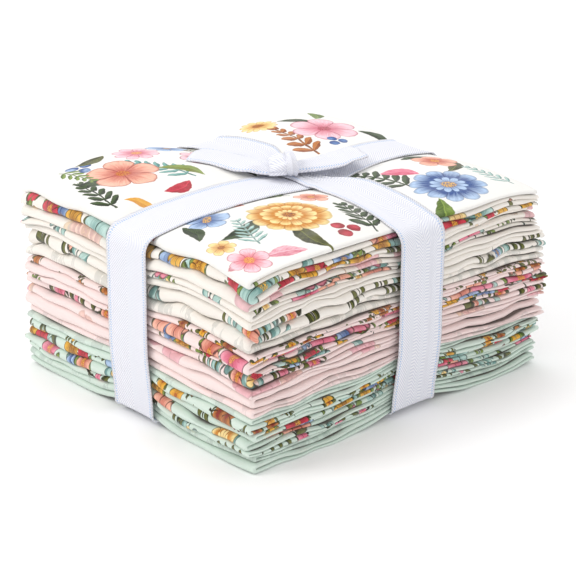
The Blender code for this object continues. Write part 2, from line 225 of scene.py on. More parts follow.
def waves(x, y, seed, count=4, shortest=26.0, longest=110.0):
    """A smooth uneven field between about -1 and 1, the same for the same seed."""
    dice = random.Random(seed)
    total = 0.0
    for _ in range(count):
        length = dice.uniform(shortest, longest)
        heading = dice.uniform(0.0, TURN)
        phase = dice.uniform(0.0, TURN)
        total = total + np.sin(TURN * (x * math.cos(heading) + y * math.sin(heading)) / length + phase)
    return total / math.sqrt(2.0 * count) * 0.9


def edge_nearness(x, y, reach=28.0):
    """1 at any edge of the stack, 0 further in than reach."""
    inside = np.minimum(HALF_X - np.abs(x), HALF_Y - np.abs(y))
    return 1.0 - smooth(inside, 0.0, reach)


def shown_side(x, y, reach=38.0):
    """1 at the two sides that the photograph shows, 0 further in and at the other two."""
    front = 1.0 - smooth(y + HALF_Y, 0.0, reach)
    right = 1.0 - smooth(HALF_X - x, 0.0, reach)
    return 1.0 - (1.0 - front) * (1.0 - right)


def boundary_levels():
    """Levels between the pieces, in the plain stack and at the sides that show."""
    plain_low = []
    level = 0.0
    for row in FAT_QUARTERS:
        plain_low.append(level)
        level += row.height + PIECE_GAP
    whole = sum(row.shown for row in FAT_QUARTERS)
    shown_low = [0.0]
    for row in FAT_QUARTERS:
        shown_low.append(shown_low[-1] + row.shown / whole * (STACK_HEIGHT + SHOWN_GAP))
    return plain_low, shown_low


PLAIN_LOW, SHOWN_LOW = boundary_levels()


def unevenness(number, x, y):
    """How far the boundary below a piece rises or falls near the stack's edges."""
    if number in (0, len(FAT_QUARTERS)):
        return 0.0
    thinner = min(FAT_QUARTERS[number - 1].shown, FAT_QUARTERS[number].shown) * 0.6
    under_tape = np.maximum(shares_x(x)[2], shares_y(x, y)[2])
    rise = np.clip(waves(x, y, 500 + number, 5, 22.0, 80.0), -UNEVEN_LIMIT, UNEVEN_LIMIT)
    return UNEVEN * thinner * rise * edge_nearness(x, y) * (1 - 0.6 * under_tape)


def top_wrinkles(x, y):
    """Soft creases in the uppermost cloth, which the tape pulls towards itself."""
    total = np.zeros_like(x)
    for crease in TOP_CREASES:
        along = math.radians(crease.heading)
        run = (x - crease.x) * math.cos(along) + (y - crease.y) * math.sin(along)
        aside = -(x - crease.x) * math.sin(along) + (y - crease.y) * math.cos(along)
        aside = aside - crease.bow * (run / crease.length) ** 2
        body = np.exp(-(run / crease.length * 1.6) ** 4)
        total = total + WRINKLE_DEPTH * crease.depth * body * np.exp(-(aside / crease.width) ** 2)
    off_tape = smooth(np.abs(x - TAPE_X), *WRINKLE_OFF_TAPE)
    off_tape = off_tape * smooth(np.abs(y - tape_y(x)), *WRINKLE_OFF_TAPE)
    return (total + WRINKLE_WAVES * waves(x, y, 77, 5, 30.0, 80.0)) * off_tape


Crease = namedtuple("Crease", "x y heading length width depth bow")
TOP_CREASES = [Crease(*row) for row in (
    (20.0, -88.0, 62.0, 34.0, 5.0, 1.3, 3.0),
    (30.0, -70.0, 50.0, 30.0, 4.0, 0.9, 4.0),
    (18.0, -40.0, 78.0, 26.0, 5.0, 0.8, -3.0),
    (-30.0, -84.0, 115.0, 30.0, 5.0, 1.0, -3.0),
    (-36.0, -20.0, 70.0, 26.0, 5.0, 0.7, 3.0),
    (78.0, -18.0, 28.0, 30.0, 5.0, 1.0, 4.0),
    (60.0, -24.0, 12.0, 30.0, 4.5, 0.8, -3.0),
    (84.0, 44.0, -24.0, 26.0, 5.0, 0.9, -3.0),
    (26.0, 60.0, 105.0, 28.0, 5.0, 0.8, 3.0),
    (-60.0, 50.0, 12.0, 34.0, 6.0, 0.8, 3.0),
)]


def piece_levels(number, x, y):
    """Lowest and highest level of a fat quarter at each point."""
    row = FAT_QUARTERS[number]
    side = shown_side(x, y)
    low = mix(PLAIN_LOW[number], SHOWN_LOW[number], side) + unevenness(number, x, y)
    high = mix(PLAIN_LOW[number] + row.height, SHOWN_LOW[number + 1] - SHOWN_GAP, side)
    high = high + unevenness(number + 1, x, y)
    return low, high


def squeeze(x, y, level):
    """Real height of a point of the unsqueezed stack."""
    low = under_stack(x, y)
    return low + level / STACK_HEIGHT * (top_of_stack(x, y) - low)


def edge_moves(number, x, y):
    """How far the four edges of a piece lie from their plain places: -X, +X, -Y, +Y."""
    row = FAT_QUARTERS[number]
    tape_on_y = shares_y(x, y)[2]
    tape_on_x = shares_x(x)[2]
    corner_y = shares_y(x, y)[0] + shares_y(x, y)[4]
    corner_x = shares_x(x)[0] + shares_x(x)[4]
    slip_x = row.slip_x * mix(1.0, SLIP_UNDER_TAPE, tape_on_y) + row.turn * y / HALF_Y * (1 - tape_on_y)
    slip_y = row.slip_y * mix(1.0, SLIP_UNDER_TAPE, tape_on_x) - row.turn * x / HALF_X * (1 - tape_on_x)
    from_top = TOP_ROW - number
    rounded = ROUNDED_UNDER_TAPE[from_top] if from_top < len(ROUNDED_UNDER_TAPE) else 0.0
    inset_x = (WAIST + rounded) * tape_on_y + CORNER_EASE * corner_y
    inset_y = (WAIST + rounded) * tape_on_x + CORNER_EASE * corner_x
    ragged_x = RAGGED * (1 - tape_on_y)
    ragged_y = RAGGED * (1 - tape_on_x)
    bulge = BULGE * math.exp(-((number - BULGE_ROW) / BULGE_ROWS) ** 2)
    bulge_x = bulge * smooth(y, LOBE_BACK - 20.0, HALF_Y)
    bulge_y = bulge * smooth(x, LOBE_RIGHT - 10.0, HALF_X)
    return (
        slip_x + inset_x + ragged_x * waves(y, y, 900 + number),
        slip_x - inset_x + ragged_x * waves(y, y, 950 + number) + bulge_x,
        slip_y + inset_y + ragged_y * waves(x, x, 1000 + number),
        slip_y - inset_y + ragged_y * waves(x, x, 1050 + number) + bulge_y,
    )


def eased(count):
    """Places from 0 to 1, closer together at both ends."""
    t = np.linspace(0.0, 1.0, count)
    return mix(t, 0.5 - 0.5 * np.cos(math.pi * t), 0.55)


Detail = namedtuple("Detail", "outer second third along fold crease")
FINE = Detail(84, 18, 10, 84, 12, 8)
PLAIN = Detail(46, 14, 8, 44, 10, 6)
LEG_OUTER, CREASE_SHOWN, LEG_SECOND, CREASE_HIDDEN, LEG_THIRD = range(5)


def across_stations(detail):
    """The way across the sheet: which stretch, place in it, and flat distance from the first edge."""
    legs = []
    third = (THIRD_LAYER_END + HALF_X) / (2 * HALF_X)
    for kind, count, start, end in (
        (LEG_OUTER, detail.outer, 0.0, 1.0),
        (CREASE_SHOWN, detail.crease, 0.0, 1.0),
        (LEG_SECOND, detail.second, 1.0, 0.0),
        (CREASE_HIDDEN, 4, 0.0, 1.0),
        (LEG_THIRD, detail.third, 0.0, third),
    ):
        if kind in (CREASE_SHOWN, CREASE_HIDDEN):
            places = np.linspace(0.0, 1.0, count + 2)[1:-1]
        else:
            places = mix(start, end, eased(count))
        legs += [(kind, place) for place in places]
    kinds = np.array([leg[0] for leg in legs])
    places = np.array([leg[1] for leg in legs])
    width = 2 * HALF_X
    flat = np.select(
        [kinds == LEG_OUTER, kinds == CREASE_SHOWN, kinds == LEG_SECOND, kinds == CREASE_HIDDEN],
        [places * width, width + 1.5 * places, 2 * width + 1.5 - places * width, 2 * width + 1.5 + places],
        2 * width + 2.5 + places * width,
    )
    return kinds, places, flat


def along_stations(detail):
    """The way along the sheet: place from the open end to the half fold, angle, flat distance."""
    leg = eased(detail.along)
    turn = np.linspace(0.0, math.pi, detail.fold + 2)[1:-1]
    places = np.concatenate([leg, np.ones(detail.fold), leg[::-1]])
    angles = np.concatenate([np.zeros(detail.along), turn, np.full(detail.along, math.pi)])
    length = 2 * HALF_Y
    flat = np.concatenate([leg * length, length + turn, 2 * length + math.pi - leg[::-1] * length])
    return places, angles, flat


def sine_turn(angle):
    """How far a soft fold stands out at an angle: its face is flatter than a half circle's."""
    return np.sin(np.clip(angle, 0.0, math.pi)) ** FOLD_SQUARENESS


def folded_sheet(number, detail):
    """Both faces of one fat quarter as grids of points, and its flat coordinates."""
    row = FAT_QUARTERS[number]
    kinds, spots, flat_u = across_stations(detail)
    runs, angles, flat_v = along_stations(detail)
    kind = kinds[:, None]
    spot = spots[:, None] + 0.0 * runs[None, :]
    run = runs[None, :] + 0.0 * spots[:, None]
    angle = angles[None, :] + 0.0 * spots[:, None]

    creases = [kind == CREASE_SHOWN, kind == CREASE_HIDDEN]
    plain_x = -HALF_X + np.select(creases, [1.0, 0.0], spot) * 2 * HALF_X
    plain_y = HALF_Y - run * 2 * HALF_Y
    left, right, front, back = edge_moves(number, plain_x, plain_y)
    low, high = piece_levels(number, plain_x, plain_y)
    half = (high - low) / 2

    # Distance of each layer from the middle of the piece
    outer = half - CLOTH / 2
    third = INMOST_LAYER * half + CLOTH / 2
    beyond_third = smooth(plain_x, THIRD_LAYER_END - 2.0, THIRD_LAYER_END + 22.0)
    second = mix(SECOND_LAYER * half, third, beyond_third)
    shown_middle = (outer + second) / 2
    shown_reach = (outer - second) / 2
    hidden_middle = (second + third) / 2
    hidden_reach = (second - third) / 2
    crease_bulge = CREASE_BULGE[0] + CREASE_BULGE[1] * waves(plain_y, plain_y, 1200 + number)
    fold_bulge = HALF_FOLD_BULGE[0] + HALF_FOLD_BULGE[1] * waves(plain_x, plain_x, 1300 + number)
    fold_bulge = np.clip(fold_bulge, *HALF_FOLD_LIMITS)

    right_room = crease_bulge * (shown_reach + CLOTH / 2)
    left_room = hidden_reach + CLOTH / 2
    raw_short = RAW_EDGE_SHORT[0] + RAW_EDGE_SHORT[1] * waves(plain_y, plain_y, 1400 + number)
    leg_left = np.where(kind == LEG_OUTER, raw_short, left_room)
    x_leg = -HALF_X + leg_left + spot * (2 * HALF_X - leg_left - right_room)
    x_flat = np.select(creases, [HALF_X - right_room, -HALF_X + left_room], x_leg)
    turn = math.pi * spot

    front_room = fold_bulge * half
    tuck = np.where(angle < 1.0, row.tuck, 0.0)
    tuck = tuck + SECOND_SHORT * (kind == LEG_SECOND) + THIRD_SHORT * (kind == LEG_THIRD)
    y_leg = HALF_Y - tuck - run * (2 * HALF_Y - tuck - front_room)

    grids = []
    for face in (1.0, -1.0):
        reach = face * CLOTH / 2
        depth = np.select(
            [kind == LEG_OUTER, kind == CREASE_SHOWN, kind == LEG_SECOND, kind == CREASE_HIDDEN],
            [
                outer + reach,
                shown_middle + (shown_reach + reach) * np.cos(turn),
                second - reach,
                hidden_middle + (hidden_reach - reach) * np.cos(turn),
            ],
            third + reach,
        )
        bulges = [crease_bulge * (shown_reach + reach), -(hidden_reach - reach)]
        x = x_flat + np.select(creases, bulges, 0.0) * sine_turn(turn)
        y = y_leg - fold_bulge * depth * sine_turn(angle) * (run >= 1.0)
        right_share = smooth(x, LOBE_RIGHT, HALF_X)
        left_share = smooth(-x, -LOBE_LEFT, HALF_X)
        back_share = smooth(y, LOBE_BACK, HALF_Y)
        front_share = smooth(-y, -LOBE_FRONT, HALF_Y)
        x = x + right * right_share + left * left_share
        y = y + back * back_share + front * front_share
        here_low, here_high = piece_levels(number, x, y)
        level = (here_low + here_high) / 2 + depth * np.cos(angle) * (here_high - here_low) / (high - low)
        z = squeeze(x, y, level)
        if number == TOP_ROW:
            lifted = (angle < 1.0) & (kind == LEG_OUTER)
            inside = smooth(HALF_X - x, 3.0, 14.0) * smooth(HALF_Y + y, 4.0, 14.0)
            z = z + top_wrinkles(x, y) * lifted * inside
        grids.append(np.stack([x, y, z], axis=-1))
    return grids[0], grids[1], flat_u, flat_v


def to_frame(points):
    """Points of the stack, in millimetres, as points of the frame, in metres."""
    return (points + np.array([STACK_SHIFT[0], STACK_SHIFT[1], 0.0])) * MM


def make_piece(name, points, faces, uv, nodes):
    """A mesh piece that stands for its CAD nodes and rides on the frame's only body."""
    data = bpy.data.meshes.new(name)
    data.vertices.add(len(points))
    data.vertices.foreach_set("co", to_frame(points).astype(np.float32).ravel())
    corners = faces.ravel()
    data.loops.add(len(corners))
    data.loops.foreach_set("vertex_index", corners.astype(np.int32))
    data.polygons.add(len(faces))
    data.polygons.foreach_set("loop_start", np.arange(0, len(corners), 4, dtype=np.int32))
    data.polygons.foreach_set("loop_total", np.full(len(faces), 4, np.int32))
    layer = data.uv_layers.new(name="flat")
    layer.data.foreach_set("uv", (uv * MM)[corners].astype(np.float32).ravel())
    data.update(calc_edges=True)
    data.validate()
    data.shade_smooth()
    piece = bpy.data.objects.new(name, data)
    bpy.context.scene.collection.objects.link(piece)
    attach(piece, "root")
    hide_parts(*nodes)
    return piece


def grid_faces(rows, columns, start, flip, wrap=False):
    """Quads of a grid of points that are numbered row by row."""
    last = rows if wrap else rows - 1
    r, c = np.meshgrid(np.arange(last), np.arange(columns - 1), indexing="ij")
    n = (r + 1) % rows
    quads = np.stack([r * columns + c, r * columns + c + 1, n * columns + c + 1, n * columns + c], axis=-1)
    quads = quads.reshape(-1, 4) + start
    return quads[:, ::-1] if flip else quads


def shell_faces(rows, columns, wrap=False):
    """Quads of a thin closed shell: two grids of the same size and the walls between them."""
    count = rows * columns
    quads = [grid_faces(rows, columns, 0, False, wrap), grid_faces(rows, columns, count, True, wrap)]
    last = rows if wrap else rows - 1
    r = np.arange(last)
    n = (r + 1) % rows
    for column, flip in ((0, False), (columns - 1, True)):
        wall = np.stack([r * columns + column, n * columns + column,
                         n * columns + column + count, r * columns + column + count], axis=-1)
        quads.append(wall[:, ::-1] if flip else wall)
    if not wrap:
        c = np.arange(columns - 1)
        for row, flip in ((0, True), (rows - 1, False)):
            wall = np.stack([row * columns + c, row * columns + c + 1,
                             row * columns + c + 1 + count, row * columns + c + count], axis=-1)
            quads.append(wall[:, ::-1] if flip else wall)
    return np.concatenate(quads)


def outward_faces(points, faces):
    """The faces, turned over if the closed shape is inside out."""
    a, b, c, d = (points[faces[:, k]] for k in range(4))
    volume = np.einsum("ij,ij->i", a, np.cross(b, c)).sum() + np.einsum("ij,ij->i", a, np.cross(c, d)).sum()
    return faces if volume > 0 else faces[:, ::-1]


def build_fat_quarter(number):
    detail = FINE if number == TOP_ROW else PLAIN
    face_a, face_b, flat_u, flat_v = folded_sheet(number, detail)
    rows, columns = face_a.shape[:2]
    points = np.concatenate([face_a.reshape(-1, 3), face_b.reshape(-1, 3)])
    u, v = np.meshgrid(flat_u, flat_v, indexing="ij")
    uv = np.stack([u.ravel(), v.ravel()], axis=-1)
    uv = np.concatenate([uv, uv])
    faces = outward_faces(points, shell_faces(rows, columns))
    node = f"fat_quarter_{number + 1:02d}"
    row = FAT_QUARTERS[number]
    piece = make_piece(f"cloth_{number + 1:02d}", points, faces, uv, [node])
    piece.data.materials.append(cotton_material(number, row.design))
    if number == TOP_ROW:
        for lobe in LOBES:
            piece.data.materials.append(cotton_material(number, lobe))
        piece.data.polygons.foreach_set("material_index", top_material_numbers(uv[faces].mean(axis=1)))
    return piece


def top_material_numbers(flat):
    """For each face of the uppermost fat quarter, the material of its lobe, or 0 inside the folds."""
    x = flat[:, 0] - HALF_X
    y = HALF_Y - flat[:, 1]
    low_y = y < TAPE_Y_AT_CROSSING
    numbers = np.where(low_y, np.where(x > TAPE_X, 1, 2), np.where(x > TAPE_X, 3, 4))
    on_top = (x < HALF_X + 2.0) & (y > -HALF_Y - 4.0)
    return np.where(on_top, numbers, 0).astype(np.int32)


# The tape

UPPER_CORNER = 8.6
LOWER_CORNER = 2.4
DEPTH_LEAN = 4.0
WIDTH_LEAN = -4.5
GATHER_X = -8.0
GATHER_REACH = (6.0, 44.0)
GATHER_SHARE = 0.58
GATHER_PULL = -8.5
CROSSING_MARGIN = 2.5
CROSSING_EASE = 12.0
CROSSING_GAP = 0.35
LEAN_HEIGHTS = (4.0, 46.0)
LEAN_AWAY = (12.0, 70.0)
EDGE_STAND_OFF = 0.30
SELVEDGE_LIFT = 0.22
GATHER_PLEATS = 2.5
GATHER_PLEAT_DEPTH = 0.9
GATHER_HEIGHTS = (60.0, 100.0)


def gathering(x):
    """1 where the width loop is drawn into the knot, 0 where it lies at its full width."""
    return 1.0 - smooth(np.abs(x - GATHER_X), *GATHER_REACH)


def crossing_rise(x):
    """How much further out the width loop lies where it crosses the depth loop."""
    away = np.abs(x - TAPE_X) - TAPE_HALF - CROSSING_MARGIN
    return (TAPE_THICK + CROSSING_GAP) * (1.0 - smooth(away, 0.0, CROSSING_EASE))


def outermost(axis):
    """Where the tape lies beside the stack: just beyond all the edges under it."""
    lows = []
    highs = []
    for number in range(len(FAT_QUARTERS)):
        if axis == "y":
            x = np.linspace(TAPE_X - TAPE_HALF, TAPE_X + TAPE_HALF + 4.0, 9)
            lows.append(np.min(edge_moves(number, x, np.full(9, -HALF_Y))[2]))
            highs.append(np.max(edge_moves(number, x, np.full(9, HALF_Y))[3]))
        else:
            y = np.linspace(TAPE_Y_AT_CROSSING - TAPE_HALF, TAPE_Y_AT_CROSSING + TAPE_HALF, 9)
            lows.append(np.min(edge_moves(number, np.full(9, -HALF_X), y)[0]))
            highs.append(np.max(edge_moves(number, np.full(9, HALF_X), y)[1]))
    half = HALF_Y if axis == "y" else HALF_X
    return -half + min(lows) - TAPE_GAP, half + max(highs) + TAPE_GAP


def quarter_arc(centre, radius, start, steps=6):
    angles = np.radians(np.linspace(start, start - 90.0, steps + 1))
    return np.stack([centre[0] + radius * np.cos(angles), centre[1] + radius * np.sin(angles)], axis=-1)


def loop_section(low, high, top, under, step=3.2):
    """A closed path (place, height) round the stack, over the top first."""
    a = UPPER_CORNER
    b = LOWER_CORNER
    over = np.linspace(low + a, high - a, int((high - low) / step))[1:-1]
    below = np.linspace(low + b, high - b, int((high - low) / step))[1:-1]
    top_high = float(top(np.array([high - a]))[0])
    top_low = float(top(np.array([low + a]))[0])
    under_high = float(under(np.array([high - b]))[0])
    under_low = float(under(np.array([low + b]))[0])
    side = np.linspace(0.0, 1.0, 26)[1:-1]
    path = np.concatenate([
        np.stack([over, top(over)], axis=-1),
        quarter_arc((high - a, top_high - a), a, 90.0, 9),
        np.stack([np.full(24, high), mix(top_high - a, under_high + b, side)], axis=-1),
        quarter_arc((high - b, under_high + b), b, 0.0),
        np.stack([below, under(below)], axis=-1)[::-1],
        quarter_arc((low + b, under_low + b), b, 270.0),
        np.stack([np.full(24, low), mix(under_low + b, top_low - a, side)], axis=-1),
        quarter_arc((low + a, top_low - a), a, 180.0, 9),
    ])
    seam = int(np.argmin(np.abs(path[:, 0] - (low + high) / 2) + path[:, 1]))
    return np.roll(path, -seam, axis=0)


def lean(place, side, height, reach):
    """How far a loop has slipped aside: at the foot of the side that shows, and just round it."""
    away = np.abs(place - side)
    return reach * (1.0 - smooth(height, *LEAN_HEIGHTS)) * (1.0 - smooth(away, *LEAN_AWAY))


def path_normals(path):
    run = np.roll(path, -1, axis=0) - np.roll(path, 1, axis=0)
    run = run / np.linalg.norm(run, axis=1, keepdims=True)
    return np.stack([-run[:, 1], run[:, 0]], axis=-1)


def path_lengths(path):
    steps = np.linalg.norm(np.diff(path, axis=0), axis=1)
    return np.concatenate([[0.0], np.cumsum(steps)])


TAPE_COLUMNS = np.linspace(-TAPE_HALF, TAPE_HALF, 13)


def selvedge_lift(offset, place, seed):
    """The tape's edges stand off the cloth a little, here more and there less."""
    uneven = 1.0 + waves(place, place * 0.0 + offset, seed)
    return SELVEDGE_LIFT * (np.abs(offset) / TAPE_HALF) ** 3 * uneven


def build_loop(name, node, axis, material):
    low, high = outermost(axis)
    inner = []
    outer = []
    lengths = None
    for offset in TAPE_COLUMNS:
        stand_off = EDGE_STAND_OFF * (abs(offset) / TAPE_HALF) ** 2
        if axis == "y":
            def top(place):
                return top_of_stack(np.full_like(place, TAPE_X + offset), place) + TAPE_GAP
            def under(place):
                return under_stack(np.full_like(place, TAPE_X + offset), place) - TAPE_GAP
        else:
            def top(place):
                drawn = gathering(place)
                across = tape_y(place) + offset * (1 - GATHER_SHARE * drawn) + GATHER_PULL * drawn
                return top_of_stack(place, across) + TAPE_GAP + crossing_rise(place)
            def under(place):
                return under_stack(place, tape_y(place) + offset) - TAPE_GAP - crossing_rise(place)
        path = loop_section(low - stand_off, high + stand_off, top, under)
        normals = path_normals(path)
        lift = selvedge_lift(offset, path[:, 0] + path[:, 1], 40)[:, None]
        near = path + normals * lift
        far = path + normals * (lift + TAPE_THICK)
        if axis == "y":
            across = TAPE_X + offset + lean(path[:, 0], low, path[:, 1], DEPTH_LEAN)
            inner.append(np.stack([across, near[:, 0], near[:, 1]], axis=-1))
            outer.append(np.stack([across, far[:, 0], far[:, 1]], axis=-1))
        else:
            drawn = gathering(path[:, 0]) * smooth(path[:, 1], *GATHER_HEIGHTS)
            across = tape_y(np.clip(path[:, 0], -HALF_X, HALF_X)) + offset * (1 - GATHER_SHARE * drawn)
            across = across + GATHER_PULL * drawn + lean(path[:, 0], high, path[:, 1], WIDTH_LEAN)
            pleats = GATHER_PLEAT_DEPTH * drawn * (1 + math.cos(TURN * GATHER_PLEATS * offset / TAPE_HALF))
            near[:, 1] += pleats
            far[:, 1] += pleats
            inner.append(np.stack([near[:, 0], across, near[:, 1]], axis=-1))
            outer.append(np.stack([far[:, 0], across, far[:, 1]], axis=-1))
        if lengths is None:
            lengths = path_lengths(path)
    inner = np.stack(inner, axis=1)
    outer = np.stack(outer, axis=1)
    rows, columns = inner.shape[:2]
    points = np.concatenate([outer.reshape(-1, 3), inner.reshape(-1, 3)])
    v, u = np.meshgrid(lengths, TAPE_COLUMNS, indexing="ij")
    uv = np.stack([u.ravel(), v.ravel()], axis=-1)
    faces = outward_faces(points, shell_faces(rows, columns, wrap=True))
    piece = make_piece(name, points, faces, np.concatenate([uv, uv]), [node])
    piece.data.materials.append(material)
    return piece


TAPE_STEP = (TAPE_HALF + 0.5, TAPE_HALF + 9.0)


def top_of_tapes(x, y):
    """Highest surface at each point of the top: the cloth, one tape or both, with soft steps."""
    one = TAPE_GAP + TAPE_THICK + CROSSING_GAP
    on_depth = 1.0 - smooth(np.abs(x - TAPE_X), *TAPE_STEP)
    on_width = 1.0 - smooth(np.abs(y - tape_y(x)), *TAPE_STEP)
    return top_of_stack(x, y) + one * np.maximum(on_depth, on_width) + crossing_rise(x) * on_width


def curve_through(rows, count):
    """A smooth curve through the rows of numbers, which it meets at even steps."""
    rows = np.array(rows, float)
    ends = np.concatenate([[2 * rows[0] - rows[1]], rows, [2 * rows[-1] - rows[-2]]])
    spots = np.linspace(0.0, len(rows) - 1.0, count)
    result = []
    for spot in spots:
        k = min(int(spot), len(rows) - 2)
        t = spot - k
        a, b, c, d = ends[k:k + 4]
        result.append(0.5 * (2 * b + (c - a) * t + (2 * a - 5 * b + 4 * c - d) * t ** 2
                             + (3 * b - a - 3 * c + d) * t ** 3))
    return np.array(result)


TailStation = namedtuple("TailStation", "x y half_width rise crown tilt")
TAIL_LEFT = [TailStation(*row) for row in (
    (-10.8, 5.2, 5.0, 3.2, 2.2, 0.0),
    (-15.0, 2.8, 6.4, 3.0, 2.8, 0.0),
    (-20.0, 0.8, 9.4, 2.8, 3.2, 0.3),
    (-27.0, -1.6, 12.8, 2.2, 2.8, 0.5),
    (-36.5, -4.2, 15.6, 1.4, 2.1, 0.6),
    (-46.8, -6.6, 16.8, 0.9, 1.4, 0.4),
    (-55.2, -9.8, 17.0, 0.8, 1.0, 0.2),
    (-62.0, -14.2, 17.0, 0.8, 0.8, 0.0),
)]
TAIL_RIGHT = [TailStation(*row) for row in (
    (-5.4, 13.0, 5.0, 3.4, 2.2, 0.0),
    (-4.0, 17.6, 6.6, 3.6, 2.6, 0.0),
    (-2.8, 23.2, 9.6, 4.0, 2.8, -0.4),
    (-0.8, 31.0, 12.2, 4.4, 2.8, -0.8),
    (1.6, 39.5, 13.6, 4.8, 2.6, -1.0),
    (4.0, 48.0, 14.0, 5.2, 2.4, -1.0),
    (6.2, 56.0, 13.6, 5.4, 2.2, -1.0),
)]
TAIL_STATIONS = 46
TAIL_COLUMNS = 21
PLEATS = 3.0
PLEAT_DEPTH = 1.2
TAIL_RIPPLE = 0.35


def build_tail(name, node, stations, seed, material):
    """A free end of the tape: pleated where the knot gathers it, flatter further out."""
    rows = curve_through(stations, TAIL_STATIONS)
    x, y, half_width, rise, crown, tilt = rows.T
    run = np.gradient(rows[:, :2], axis=0)
    run = run / np.linalg.norm(run, axis=1, keepdims=True)
    aside = np.stack([-run[:, 1], run[:, 0]], axis=-1)
    share = np.linspace(-1.0, 1.0, TAIL_COLUMNS)[None, :]
    px = x[:, None] + share * half_width[:, None] * aside[:, :1]
    py = y[:, None] + share * half_width[:, None] * aside[:, 1:]
    gathered = np.clip(1.0 - half_width / TAPE_HALF, 0.0, 1.0)[:, None]
    pleats = PLEAT_DEPTH * gathered * np.cos(TURN * PLEATS * share / 2 + 0.6)
    ripple = TAIL_RIPPLE * waves(px, py, seed, 4, 16.0, 44.0)
    arch = crown[:, None] * (1 - share ** 2) + tilt[:, None] * share
    pz = top_of_tapes(px, py) + rise[:, None] + arch + pleats + ripple
    under = np.stack([px, py, pz], axis=-1)
    over = np.stack([px, py, pz + TAPE_THICK], axis=-1)
    lengths = path_lengths(rows[:, :2])
    v, u = np.meshgrid(lengths, TAPE_COLUMNS[0] * -share[0], indexing="ij")
    uv = np.stack([u.ravel(), v.ravel()], axis=-1)
    points = np.concatenate([over.reshape(-1, 3), under.reshape(-1, 3)])
    faces = outward_faces(points, shell_faces(TAIL_STATIONS, TAIL_COLUMNS))
    piece = make_piece(name, points, faces, np.concatenate([uv, uv]), [node])
    piece.data.materials.append(material)
    return piece


KNOT_X = -8.5
KNOT_Y = 9.3
KNOT_HEADING = math.radians(55.0)
KnotSection = namedtuple("KnotSection", "place half_width height")
KNOT_SECTIONS = [KnotSection(*row) for row in (
    (-8.5, 6.2, 6.8),
    (-7.5, 8.2, 8.6),
    (-4.8, 10.2, 10.6),
    (-0.9, 11.0, 11.8),
    (1.0, 10.6, 11.4),
    (1.5, 11.8, 13.0),
    (4.2, 12.4, 13.8),
    (7.0, 11.4, 12.4),
    (7.9, 8.8, 9.6),
    (8.4, 5.8, 6.6),
)]
KNOT_STATIONS = 84
KNOT_SIDES = 64
KNOT_LIFT = 0.9
STRAP_START = 1.25
STRAP_SLANT = 1.1
STRAP_FOLDS = (0.26, 0.14)
NECK_GATHERS = (0.42, 0.22)


def build_knot(material):
    """The knot: the gathered neck of the tape, and the strap that is drawn tight round it."""
    rows = curve_through(KNOT_SECTIONS, KNOT_STATIONS)
    place, half_width, height = (column[:, None] for column in rows.T)
    angle = (TURN * (np.arange(KNOT_SIDES) + 0.5) / KNOT_SIDES)[None, :]
    on_strap = smooth(place, STRAP_START - 0.4, STRAP_START + 0.4)
    gathers = NECK_GATHERS[0] * np.cos(7 * angle + 0.12 * place) + NECK_GATHERS[1] * np.cos(12 * angle + 1.0)
    slant = place + STRAP_SLANT * np.cos(angle)
    turns = STRAP_FOLDS[0] * np.cos(TURN * slant / 3.1) + STRAP_FOLDS[1] * np.cos(TURN * slant / 1.7 + 1.0)
    swell = mix(gathers, turns, on_strap)
    across = (half_width + swell) * np.cos(angle)
    along = (math.cos(KNOT_HEADING), math.sin(KNOT_HEADING))
    x = KNOT_X + place * along[0] - across * along[1]
    y = KNOT_Y + place * along[1] + across * along[0]
    rise = height * (1 + np.sin(angle)) / 2 + swell * np.sin(angle)
    z = top_of_tapes(x, y) + KNOT_LIFT + rise
    rings = np.stack([x, y, z], axis=-1)
    count = KNOT_STATIONS * KNOT_SIDES
    points = np.concatenate([rings.reshape(-1, 3), [rings[0].mean(axis=0), rings[-1].mean(axis=0)]])
    r, k = np.meshgrid(np.arange(KNOT_STATIONS - 1), np.arange(KNOT_SIDES), indexing="ij")
    n = (k + 1) % KNOT_SIDES
    quads = np.stack([r * KNOT_SIDES + k, r * KNOT_SIDES + n,
                      (r + 1) * KNOT_SIDES + n, (r + 1) * KNOT_SIDES + k], axis=-1).reshape(-1, 4)
    caps = []
    for ring, middle, flip in ((0, count, True), (KNOT_STATIONS - 1, count + 1, False)):
        for side in range(0, KNOT_SIDES, 2):
            base = ring * KNOT_SIDES
            cap = [middle, base + side, base + (side + 1) % KNOT_SIDES, base + (side + 2) % KNOT_SIDES]
            caps.append(cap[::-1] if flip else cap)
    faces = outward_faces(points, np.concatenate([quads, np.array(caps)]))
    girth = TAPE_HALF * (angle / math.pi - 1.0)
    u = mix(girth + 0.0 * place, 2.2 * (place - 6.0) + 0.0 * angle, on_strap)
    v = mix(place + 0.0 * angle, 1.6 * girth + 0.0 * place, on_strap)
    uv = np.stack([u.ravel(), v.ravel()], axis=-1)
    uv = np.concatenate([uv, [[0.0, 0.0], [0.0, 0.0]]])
    piece = make_piece("tape_knot_tied", points, faces, uv, ["tape_knot"])
    piece.data.materials.append(material)
    return piece


# Materials

